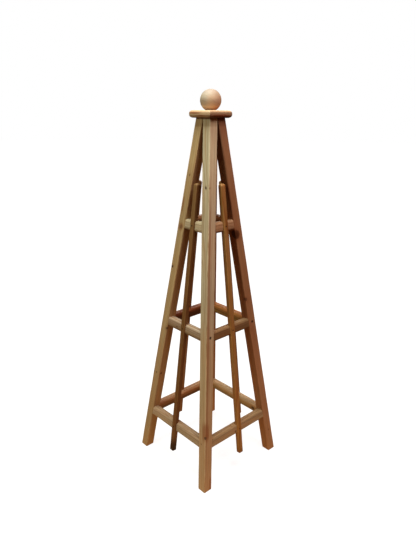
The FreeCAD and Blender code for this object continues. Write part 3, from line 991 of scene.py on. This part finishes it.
CAP_LOOK = {
    "tint": (0.93, 0.86, 0.89), "pith": (0.01, -0.06), "lean": (0.01, 0.02), "ring": 3.0,
    "streaks": 1.0, "patches": 0.5, "contrast": 1.0, "ends": 0.75,
    "stains_and_shades": [
        # painted shade on the lower half of the +X end; the two below are dark lines along the front face
        stain_or_shade_on((0, -10, 66), (80, 12, 30), 1.0, 0.4),
        stain_or_shade_on((-66, 4.5, -30), (14, 4.5, 60), 1.0, 0.5),
        stain_or_shade_on((-66, -7, 15), (14, 4.5, 50), 1.0, 0.5),
    ],
    # painted light over the upper rounding, toned back a little on the top face; painted shade over the
    # lower rounding and the lower half of the +X end
    "tones": [
        tone_along(V, 7, 13, (1.40, 1.38, 1.42)),
        tone_along(V, 14.6, 15.4, (0.80, 0.80, 0.78)),
        tone_along(V, -10, -15, (0.55, 0.46, 0.38)),
        tone_along(V, 0, -9, (0.62, 0.52, 0.44), (W, 40, 62)),
    ],
}
BALL_LOOK = {
    "tint": (0.87, 0.93, 1.21), "pith": (0.02, 0.05), "lean": (0.03, 0.02), "ring": 2.6,
    "streaks": 0.5, "patches": 0.5, "heart": 0.4, "rough": 0.6, "ends": 0.25,
    "stains_and_shades": [stain_or_shade_on((20, -34, 26), (40, 16, 34), 0.35, 0.6)],
    # painted light and shade: a dimmer, cooler top and painted reflected light from the cap on the lower
    # half and lower right side; the right side is also made more orange
    "tones": [
        tone_along(V, 14, 45, (0.93, 0.92, 1.02)),
        tone_along(W, 8, 42, (1.04, 0.95, 0.86)),
        tone_along(V, -6, -30, (1.20, 1.15, 1.08)),
        tone_along(W, 10, 40, (1.24, 1.16, 1.08), (V, 26, 8)),
    ],
}


# painted shade on each rail's rounded underside; below it, where on a rail the painted light and shade of
# its bottom edge come on, by how the rail is seen
PAINTED_RAIL_UNDERSIDE_SHADE = tone_along(V, -12, -23, (0.72, 0.66, 0.60))
PAINTED_RAIL_LOWER_SHADING = {"near": (6, -12), "far": (20, 2), "far_and_low": (12, -6)}

DOWEL_LOOK = {"tint": (1.05, 0.98, 0.92), "ring": 1.4, "heart": 0.1, "contrast": 0.4, "streaks": 0.2}


def rail_look(tier, side, index):
    random = np.random.default_rng(700 + index)
    rail = f"{tier}_{side}"
    tint, top, bottom, outside = RAIL_COLOURS_AND_PAINTED_SHADING[rail]
    seen = "near" if side in ("front", "right") else "far_and_low" if tier == "lower" else "far"
    look = {
        "tint": tint,
        "pith": (random.uniform(-0.07, 0.07), random.choice((-1, 1)) * random.uniform(0.03, 0.07)),
        "lean": (random.uniform(-0.03, 0.03), random.uniform(-0.03, 0.03)),
        "ring": random.uniform(4.2, 6.0),
        "heart": 0.35, "streaks": 1.2, "patches": 0.5, "contrast": 1.0,
        # painted light and shade over the top edge and the bottom edge, painted shade on the rounded
        # underside, then the change over the outer face
        "tones": [
            tone_along(V, 10, 22, top),
            tone_along(V, *PAINTED_RAIL_LOWER_SHADING[seen], bottom),
            PAINTED_RAIL_UNDERSIDE_SHADE,
            tone_along(U, -10, -19, outside),
        ],
    }
    face = RAIL_DEPTH / 2 / MM
    if rail == "lower_back":
        look["knots"] = [knot_at((face, 2, -149), FACE["right"], 8)]
    elif index % 3 == 1:
        at = (-face, random.uniform(-8, 8), random.uniform(-60, 60))
        look["knots"] = [knot_at(at, FACE["left"], random.uniform(2, 4), 0.6)]
    return look


# ---------------------------------------------------------------- timber pieces


def detail(fine, coarse):
    return fine


def angle_of(points):
    return np.arctan2(points[:, 1], points[:, 0])


PLANING = 0.12 * MM
FINE_PLANING = 0.1 * MM
LEG_WEAR = 0.5 * MM
SLAT_WEAR = 0.35 * MM
KNOT_LIFT = 0.25 * MM
KNOT_DEPTH = 6 * MM
KNOT_REACH = 12 * MM
MOST_PROUD = 0.12 * MM
BOARD_STEP = (7 * MM, 30 * MM)
RAIL_STEP = (6 * MM, 30 * MM)
KNOT_STEP = (1.6 * MM, 12 * MM)
LEG_CUTS = (13, 5)  # points along each side, and round each corner
SLAT_CUTS = (7, 5)
RAIL_CUTS = (9, 9)
CAP_CUTS = (26, 4)


def bulged(points, normals, knot):
    """How far a knot makes the surface stand out, with a sunken rim around it."""
    axis = np.array(knot["axis"])
    offset = points - np.array(knot["at"])
    side = np.cross(axis, UP)
    flat = np.sqrt((offset @ side) ** 2 + offset[:, 2] ** 2) / knot["size"]
    facing = np.clip(normals @ axis[:2], 0, 1)
    near = np.abs(offset @ axis) < KNOT_DEPTH
    return KNOT_LIFT * (np.exp(-(flat**2)) - 1.3 * np.exp(-(((flat - 1.25) / 0.22) ** 2))) * facing * near


def board_rings(section, places, insets, seed, planing, wear, cuts, knots=()):
    """Rings of points along a board, with planing hollows, rubbed edges and proud knots."""
    hollow = relief(seed, planing)
    rubbed = worn(seed + 1, wear)
    rings = []
    for along, inset in zip(places, insets):
        points, normals, rounding = rounded_rectangle(*section(inset), *cuts)
        angle = angle_of(points)
        out = np.minimum(hollow(angle, along), 0.0) - rounding * rubbed(angle, along)
        solid = np.column_stack((points, np.full(len(points), along)))
        for knot in knots:
            if abs(along - knot["at"][2]) < 3 * knot["size"]:
                out = out + bulged(solid, normals, knot)
        points = points + normals * np.minimum(out, MOST_PROUD)[:, None]
        rings.append([(x, y, along) for x, y in points])
    return rings


def with_fine_stretches(places, length, spots, reach, step):
    """Adds closer steps around spots such as knots, so that their relief has enough points."""
    margin = 2 * FOOT_CHAMFER
    extra = [spot - reach + step * k for spot in spots for k in range(int(2 * reach / step) + 1)]
    merged = sorted(places + [place for place in extra if margin < place < length - margin])
    kept = [merged[0]]
    for place in merged[1:]:
        if place - kept[-1] > step * 0.6:
            kept.append(place)
    return kept


def painted_shade_in_screw_recesses(corner, place):
    """Painted shade in the recesses over a leg's screws and just around them."""
    ends = [end for end in RAIL_ENDS if end[1] == corner and is_screwed(end)]
    around = LONG_SCREW["bore"] * 0.9
    heads = [place.inverted() @ rail_screw_matrix(end).translation for end in ends]
    reach = (LEG_SIZE, around, around)
    return [{"at": tuple(head), "reach": reach, "dark": 0.9, "ragged": 0.3} for head in heads]


def leg_section(inset):
    size = LEG_SIZE - 2 * inset
    return size, size, max(LEG_ROUND - inset, 0.35 * LEG_ROUND)


def make_leg(corner, index):
    name = f"leg_{corner}"
    place = leg_place(corner)
    look = {**LEG_LOOKS[corner], "holes": painted_shade_in_screw_recesses(corner, place)}
    material = wood_material(f"{name}_wood", place, look, 10 + index, (HALF_LEG, HALF_LEG))
    places = stations(LEGS_HEIGHT, detail(*BOARD_STEP))
    spots = [knot["at"][2] for knot in look["knots"]]
    places = with_fine_stretches(places, LEGS_HEIGHT, spots, KNOT_REACH, detail(*KNOT_STEP))
    places = [0, FOOT_CHAMFER, 2 * FOOT_CHAMFER] + places[1:] + [LEGS_HEIGHT]
    insets = [FOOT_CHAMFER] + [0] * (len(places) - 1)
    rings = board_rings(leg_section, places, insets, 20 + index, PLANING, LEG_WEAR, LEG_CUTS, look["knots"])
    piece = new_piece(f"{name}_timber", moved(skin(rings), place), material, name)
    rise = 2 * RAIL_SCREW_RECESS
    holes = end_holes([end for end in RAIL_ENDS if end[1] == corner], rise)
    cut_with(piece, holes + [moved(bore(LONG_SCREW, rise), cap_screw_matrix(corner))])
    smooth(piece.data)


def box_tool(low, high):
    verts = [(x, y, z) for x in (low[0], high[0]) for y in (low[1], high[1]) for z in (low[2], high[2])]
    faces = [(0, 1, 3, 2), (4, 6, 7, 5), (0, 4, 5, 1), (2, 3, 7, 6), (0, 2, 6, 4), (1, 5, 7, 3)]
    return verts, faces


def rail_half_length(place, u, v):
    """Half a rail's length along one of its fibres, so that its ends lie on the legs' faces."""
    height = (place @ Vector((u, v, 0))).z
    return outer(height) - LEG_SIZE


def rail_rings(place, seed):
    """A rail's rings, from one leg's leaning face to the other's, with planing hollows between them."""
    longest = rail_half_length(place, 0, -RAIL_HEIGHT / 2)
    count = max(12, round(2 * longest / detail(*RAIL_STEP)))
    hollow = relief(seed, PLANING)
    points, normals, _ = rounded_rectangle(RAIL_DEPTH, RAIL_HEIGHT, RAIL_ROUND, *RAIL_CUTS)
    angle = angle_of(points)
    rings = []
    for step in range(count + 1):
        share = 2 * step / count - 1
        out = np.minimum(hollow(angle, share * longest), 0.0) * (1 - share**8)
        section = points + normals * out[:, None]
        rings.append([(u, v, share * rail_half_length(place, u, v)) for u, v in section])
    return rings


def make_rail(tier, side, index):
    name = f"{tier}_rail_{side}"
    place = rail_place(tier, side)
    material = wood_material(f"{name}_wood", place, rail_look(tier, side, index), 40 + index)
    rings = rail_rings(place, 60 + index)
    piece = new_piece(f"{name}_timber", moved(skin(rings), place), material, name)
    housing = SLAT_DEPTH - SLAT_PROUD - RAIL_SINK
    notch = box_tool((-RAIL_DEPTH, -RAIL_HEIGHT, -SLAT_WIDTH / 2), (housing, RAIL_HEIGHT, SLAT_WIDTH / 2))
    cut_with(piece, [moved(notch, place)])
    screw_hole = moved(bore(SLAT_SCREW, 2 * SLAT_SCREW_RECESS), slat_screw_matrix(tier, side))
    cut_with(piece, end_holes(ends_of_rail(tier, side), RAIL_SCREW_RECESS) + [screw_hole])
    smooth(piece.data)


def ends_of_rail(tier, side):
    """The two ends of one rail."""
    facing = {"front": ("front_left", "front_right"), "back": ("back_left", "back_right")}
    flanks = {"left": ("front_left", "back_left"), "right": ("front_right", "back_right")}
    corners = {**facing, **flanks}[side]
    return [(tier, corner, side in facing) for corner in corners]


def slat_section(inset):
    """A slat's section grows rounder as it closes over the crown."""
    depth = SLAT_DEPTH - 2 * inset
    return SLAT_WIDTH - 2 * inset, depth, min(SLAT_ROUND + 0.7 * inset, 0.42 * depth)


def make_slat(side, index):
    name = f"slat_{side}"
    place = slat_place(side)
    look = {
        "tint": SLAT_TINTS[side], "pith": (0.012 * (-1) ** index, 0.045), "lean": (0.016, -0.012),
        "ring": 5.5, "heart": 0.5, "streaks": 1.1, "contrast": 1.0, "ends": 0.15,
        "tones": SLAT_TONES_AND_HIGHLIGHT.get(side, ()),
    }
    material = wood_material(f"{name}_wood", place, look, 80 + index, (SLAT_WIDTH / 2, SLAT_DEPTH / 2))
    straight = slat_length(side) - SLAT_CROWN
    crown = [math.pi / 2 * k / 8 for k in range(9)]
    places = [0, SLAT_CHAMFER] + stations(straight, detail(*BOARD_STEP))
    insets = [SLAT_CHAMFER] + [0] * (len(places) - 1) + [SLAT_CROWN * (1 - math.cos(a)) for a in crown]
    places += [straight + SLAT_CROWN * math.sin(a) for a in crown]
    rings = board_rings(slat_section, places, insets, 90 + index, FINE_PLANING, SLAT_WEAR, SLAT_CUTS)
    piece = new_piece(f"{name}_timber", moved(skin(rings), place), material, name)
    hole = bore(SLAT_SCREW, SLAT_BORE_RISE)
    cut_with(piece, [moved(hole, slat_screw_matrix(tier, side)) for tier in TIERS])
    smooth(piece.data)


# ---------------------------------------------------------------- cap and ball


def finial_screw_hole():
    """The hole through the cap's top and up into the ball that the double-ended screw fills."""
    radius, point = FINIAL_SCREW["diameter"] / 2, FINIAL_SCREW["diameter"]
    low, high = -FINIAL_SCREW["in_cap"], FINIAL_SCREW["in_ball"]
    profile = [(0, low), (radius, low + point), (radius, high - point), (0, high)]
    return moved(turned(profile, DOWEL_SIDES), Matrix.Translation((0, 0, cap_high.z)))


def cap_levels(thick):
    """How high and how far inside the cap's edge its rings lie: flat, bullnosed, upright, then the same."""
    steps = 9
    lower = [(0.0, inside + CAP_ROUND) for inside in CAP_FLAT_RINGS]
    for step in range(steps + 1):
        angle = math.pi / 2 * step / steps
        lower.append((CAP_ROUND * (1 - math.cos(angle)), CAP_ROUND * (1 - math.sin(angle))))
    upright = [(CAP_ROUND + (thick - 2 * CAP_ROUND) * share, 0.0) for share in (0.25, 0.5, 0.75)]
    return lower + upright + [(thick - rise, inset) for rise, inset in reversed(lower)]


def make_cap():
    """The cap plate: bullnosed on all four sides, with crisp mitred corners."""
    place = frame_matrix(BACK, UP, RIGHT, Vector((0, 0, (cap_low.z + cap_high.z) / 2)))
    material = wood_material("cap_wood", place, CAP_LOOK, 120)
    hollow = relief(130, PLANING)
    rings = []
    for rise, inset in cap_levels(cap_high.z - cap_low.z):
        width = 2 * (cap_high.x - inset)
        points, normals, rounding = rounded_rectangle(width, width, CAP_CORNER, *CAP_CUTS)
        out = np.minimum(hollow(angle_of(points), rise * 3), 0.0) - CAP_CORNER_WEAR * rounding
        points = points + normals * out[:, None]
        rings.append([(x, y, cap_low.z + rise) for x, y in points])
    piece = new_piece("cap_plate_timber", skin(rings), material, "cap_plate")
    bores = [moved(bore(LONG_SCREW, CAP_BORE_RISE), cap_screw_matrix(corner)) for corner in CORNERS]
    cut_with(piece, bores + [finial_screw_hole()])
    smooth(piece.data)


def make_ball():
    """The ball: turned about its upright axis, with an eased flat foot and faint tool rings."""
    middle = Vector((0, 0, cap_high.z + BALL_LIFT))
    lying = frame_matrix(BACK, UP, RIGHT, middle)
    material = wood_material("ball_wood", lying, BALL_LOOK, 140)
    foot = math.asin(BALL_LIFT / BALL_RADIUS)
    steps = 120
    profile = [(0, -BALL_LIFT), (BALL_RADIUS * math.cos(foot) - BALL_EASING, -BALL_LIFT)]
    for k in range(steps + 1):
        angle = -foot + (foot + math.pi / 2) * k / steps
        radius = BALL_RADIUS + TOOL_RING * (math.sin(angle * TOOL_RINGS) - 1)
        lowest = BALL_FOOT_RISE - BALL_LIFT if k == 0 else -BALL_LIFT
        height = max(radius * math.sin(angle), lowest)
        profile.append((0 if k == steps else radius * math.cos(angle), height))
    ball = moved(turned(profile, 128), Matrix.Translation(middle))
    piece = new_piece("ball_finial_timber", ball, material, "ball_finial")
    cut_with(piece, [finial_screw_hole()])
    smooth(piece.data)


# ---------------------------------------------------------------- screws


SCRATCH_DEPTH = 0.05 * MM


def steel_material():
    """Zinc and yellow passivated steel: fine drawn scratches, dull and brown patches, and colours darkened
    as painted shade of the deep recesses that it sits in.
    """
    material = bpy.data.materials.new("screw_steel")
    n = fresh_nodes(material)
    point = n.add("ShaderNodeTexCoord").outputs["Object"]
    patch = n.noise(point, 260.0, 3.0)
    scratch = n.noise(n.stretched(point, 0.2), 3000.0, 2.0)
    # colours darkened as painted shade of the deep recesses the screws sit in
    colour = n.mix(n.step(patch, 0.35, 0.65), linear(96, 82, 58), linear(122, 112, 92))
    colour = n.mix(n.step(patch, 0.6, 0.8), colour, linear(60, 38, 24))
    rough = n.line(scratch, 0.25, n.line(patch, 0.3, 0.18))
    n.surface({"Base Color": colour, "Roughness": rough, "Metallic": 1.0}, scratch, 0.3, SCRATCH_DEPTH)
    return material


def threaded(start, stop, shank, pitch, around=32):
    """Rings of a thread's ridge from one height down to another, running out to nothing at both ends."""
    core = 0.7 * shank
    count = round((start - stop) / pitch * 6)
    rings = []
    for level in range(count + 1):
        height = start + (stop - start) * level / count
        fade = min(1.0, 0.12 * level)
        taper = min(1.0, 0.05 + (height - stop) / (2 * SCREW_POINT * shank))
        ring = []
        for k, (x, y, _) in enumerate(circle(taper, height, around)):
            turn = (height / pitch + k / around) % 1.0
            ridge = max(0.0, 1 - 4 * abs(turn - 0.5))
            radius = (core + (shank - core) * ridge) * fade + shank * (1 - fade)
            ring.append((radius * x, radius * y, height))
        rings.append(ring)
    return rings


def hung(rings, low_point, high_point):
    """Mesh of rings listed from the top down, closed by a point below and a point above."""
    return skin([[low_point], *reversed(rings), [high_point]])


def screw_mesh(screw):
    """A countersunk screw: a flat cross-recessed head, a plain neck and a rolled thread."""
    shank, head, length = screw["shank"] / 2, screw["head"] / 2, screw["length"]
    lip = 0.06 * head
    neck = 0.35 * length
    rings = [circle(share * head, 0) for share in (0.5, 0.97)]
    rings += [circle(head, -lip), circle(shank, -(head - shank)), circle(shank, 0.5 * shank - neck)]
    rings += threaded(-neck, -length + 0.02 * shank, shank, screw["shank"] / 2)
    master = in_scene("screw_master", mesh_from("screw_master", hung(rings, (0, 0, -length), (0, 0, 0))))
    arm, thick, deep = 0.55 * head, 0.13 * head, 0.5 * (head - shank)
    above = 0.3 * head
    cross = [
        tapered_box((arm, thick), (0.45 * arm, 0.6 * thick), above, -deep),
        tapered_box((thick, arm), (0.6 * thick, 0.45 * arm), above, -0.999 * deep),
    ]
    for slot in cross:
        cut_with(master, [slot])
    verts = [tuple(v.co) for v in master.data.vertices]
    faces = [tuple(face.vertices) for face in master.data.polygons]
    bpy.data.objects.remove(master)
    return verts, faces


def tapered_box(top, bottom, high, low):
    """A box whose half sizes shrink from its top to its bottom."""
    corners = [(1, 1), (-1, 1), (-1, -1), (1, -1)]
    verts = [(x * top[0], y * top[1], high) for x, y in corners]
    verts += [(x * bottom[0], y * bottom[1], low) for x, y in corners]
    faces = [(0, 1, 2, 3), (7, 6, 5, 4)]
    faces += [(k, 4 + k, 4 + (k + 1) % 4, (k + 1) % 4) for k in range(4)]
    return verts, faces


def dowel_mesh():
    """A dowel with chamfered ends and shallow flutes for the glue."""
    radius, half, chamfer = DOWEL["diameter"] / 2, DOWEL["length"] / 2, DOWEL["chamfer"]
    around = 6 * DOWEL["flutes"]
    groove = [DOWEL["groove"] * max(0.0, math.cos(2 * math.pi * k / 6)) for k in range(around)]
    rings = []
    for height in (half, half - chamfer, half - 2 * chamfer, 2 * chamfer - half, chamfer - half, -half):
        reach = min(radius, radius - chamfer + half - abs(height))
        unit = enumerate(circle(1, height, around))
        rings.append([((reach - groove[k]) * x, (reach - groove[k]) * y, height) for k, (x, y, _) in unit])
    return hung(rings, (0, 0, -half), (0, 0, half))


def finial_screw_mesh():
    """The double-ended screw: a plain middle with a thread and a point each way."""
    radius, point, plain, pitch = FINIAL_SCREW["diameter"] / 2, 0.3 * MM, 4 * MM, 3 * MM
    in_cap, in_ball = FINIAL_SCREW["in_cap"], FINIAL_SCREW["in_ball"]
    up = threaded(-plain, point - in_ball, radius, pitch)
    down = threaded(-plain, point - in_cap, radius, pitch)
    rings = [[(x, y, -z) for x, y, z in ring] for ring in reversed(up)] + down
    return hung(rings, (0, 0, -in_cap), (0, 0, in_ball))


def make_copies(node, kind, master, matrices, material):
    """One piece that holds a copy of a small mesh at each place, each turned a little differently."""
    verts, faces = [], []
    for index, matrix in enumerate(matrices):
        start = len(verts)
        one_verts, one_faces = moved(master, matrix @ Matrix.Rotation(0.7 * index, 4, "Z"))
        verts += one_verts
        faces += [tuple(start + i for i in face) for face in one_faces]
    piece = new_piece(f"{node}_{kind}", (verts, faces), material, node)
    smooth(piece.data, 40)


def make_screws():
    steel = steel_material()
    long_screw = screw_mesh(LONG_SCREW)
    rail_places = [rail_screw_matrix(end) for end in RAIL_ENDS if is_screwed(end)]
    slat_places = [slat_screw_matrix(*spot) for spot in CROSSINGS]
    cap_places = [cap_screw_matrix(corner) for corner in CORNERS]
    finial_places = [Matrix.Translation((0, 0, cap_high.z))]
    for node, mesh_data, places in (
        ("middle_rail_screws", long_screw, rail_places),
        ("slat_screws", screw_mesh(SLAT_SCREW), slat_places),
        ("cap_screws", long_screw, cap_places),
        ("finial_dowel_screw", finial_screw_mesh(), finial_places),
    ):
        make_copies(node, "steel", mesh_data, places, steel)


def make_dowels():
    for index, tier in enumerate(TIERS):
        places = [rail_dowel_matrix(end) for end in RAIL_ENDS if end[0] == tier and not is_screwed(end)]
        wood = wood_material(f"{tier}_dowel_wood", Matrix.Identity(4), DOWEL_LOOK, 160 + index)
        make_copies(f"{tier}_rail_dowels", "wood", dowel_mesh(), places, wood)


# ---------------------------------------------------------------- the object


def build_object():
    for index, corner in enumerate(CORNERS):
        make_leg(corner, index)
    for index, (tier, side) in enumerate(CROSSINGS):
        make_rail(tier, side, index)
    for index, side in enumerate(SIDES):
        make_slat(side, index)
    make_cap()
    make_ball()
    make_screws()
    make_dowels()


# ---------------------------------------------------------------- stage, lights and camera

FLOOR_RADIUS = 30
FLOOR_GREY = (0.35, 0.35, 0.35, 1)
FLOOR_GLOW = (0.3, 4.0, 0.88, 1.0)  # from and to these distances, from and to these strengths
BOUNCE_REACH = (0.2, 2.0)
BOUNCE = (1.0, 0.56, 0.23, 1)
BOUNCE_STRENGTH = 0.53
ROOM = (1.0, 0.26, 0.09, 1)
ROOM_STRENGTH = 0.196
WHITE = (1, 1, 1, 1)


def make_floor():
    """A plain pale floor: white to look at but for soft shadows, and a warm pool of light to be lit by."""
    floor = in_scene("floor", mesh_from("floor", (circle(FLOOR_RADIUS, 0, 96), [tuple(range(96))])))
    material = bpy.data.materials.new("floor_paint")
    n = fresh_nodes(material)
    away = n.vector("LENGTH", n.add("ShaderNodeTexCoord").outputs["Object"])
    shadowed = n.add("ShaderNodeBsdfDiffuse", {"Color": FLOOR_GREY})
    glow = n.add("ShaderNodeEmission", {"Strength": n.step(away, *FLOOR_GLOW)})
    paint = n.add("ShaderNodeAddShader", {0: shadowed.outputs[0], 1: glow.outputs[0]})
    pool = n.times(n.step(away, *BOUNCE_REACH, 1.0, 0.0), BOUNCE_STRENGTH)
    lit = n.add("ShaderNodeEmission", {"Color": BOUNCE, "Strength": pool})
    n.seen_or_lit_by(paint, lit, "ShaderNodeOutputMaterial")
    floor.data.materials.append(material)


def make_world():
    """Pale to look at, and a dim warm surround to be lit by."""
    bpy.context.scene.world = bpy.data.worlds.new("studio")
    n = fresh_nodes(bpy.context.scene.world)
    room = n.add("ShaderNodeBackground", {"Color": ROOM, "Strength": ROOM_STRENGTH})
    pale = n.add("ShaderNodeBackground", {"Color": WHITE, "Strength": 1.0})
    n.seen_or_lit_by(pale, room, "ShaderNodeOutputWorld")


LIGHTS_AIM = 0.9  # height that the lights point at
SOFTBOX = 1.1
LIGHTS = {  # azimuth and elevation in degrees, distance, size, power in watts and colour
    "top": (0, 83, 3.2, SOFTBOX, 83, (0.79, 1.0, 0.97)),
    "front": (0, 35, 3.5, SOFTBOX, 41, (0.78, 1.0, 0.83)),
    "right": (90, 60, 3.0, 1.0, 37, (1.0, 0.88, 0.89)),
    "rear": (225, 35, 3.5, SOFTBOX, 16, (1.0, 0.94, 0.85)),
}


def soft_light(name, azimuth, elevation, distance, size, power, colour):
    """A square softbox. Azimuth 0 is in front, -Y, and 90 on the right, +X."""
    data = bpy.data.lights.new(name, "AREA")
    data.shape = "RECTANGLE"
    data.size = data.size_y = size
    data.energy = power
    data.color = colour
    light = in_scene(name, data)
    turn, rise = math.radians(azimuth), math.radians(elevation)
    way = Vector((math.sin(turn) * math.cos(rise), -math.cos(turn) * math.cos(rise), math.sin(rise)))
    light.location = UP * LIGHTS_AIM + way * distance
    light.rotation_euler = way.to_track_quat("Z", "Y").to_euler()


CAMERA_AWAY = 2.19253  # from the central axis, level
CAMERA_HEIGHT = 1.69479
CAMERA_TURN = math.radians(47.04)  # round from the front towards the right
CAMERA_PAN = math.radians(0.139)
CAMERA_PITCH = math.radians(-18.749)
CAMERA_ROLL = math.radians(0.474)
SENSOR = 36
LENS = 0.877315 * SENSOR


def make_camera():
    """Where a standing photographer looks down at the obelisk, near one of its corners."""
    turn = CAMERA_TURN + CAMERA_PAN
    level = Vector((-math.sin(turn), math.cos(turn), 0))
    right = Vector((math.cos(turn), math.sin(turn), 0))
    ahead = level * math.cos(CAMERA_PITCH) + UP * math.sin(CAMERA_PITCH)
    above = UP * math.cos(CAMERA_PITCH) - level * math.sin(CAMERA_PITCH)
    tilted_right = right * math.cos(CAMERA_ROLL) + above * math.sin(CAMERA_ROLL)
    tilted_above = above * math.cos(CAMERA_ROLL) - right * math.sin(CAMERA_ROLL)
    data = bpy.data.cameras.new("camera")
    data.sensor_width = SENSOR
    data.lens = LENS
    data.clip_start, data.clip_end = 0.05, 200
    camera = in_scene("camera", data)
    way = Vector((math.sin(CAMERA_TURN), -math.cos(CAMERA_TURN), 0))
    spot = CAMERA_AWAY * way + CAMERA_HEIGHT * UP
    camera.matrix_world = frame_matrix(tilted_right, tilted_above, -ahead, spot)
    bpy.context.scene.camera = camera


build_object()
make_floor()
make_world()
for light, settings in LIGHTS.items():
    soft_light(light, *settings)
make_camera()
bpy.context.scene.view_settings.view_transform = "Standard"
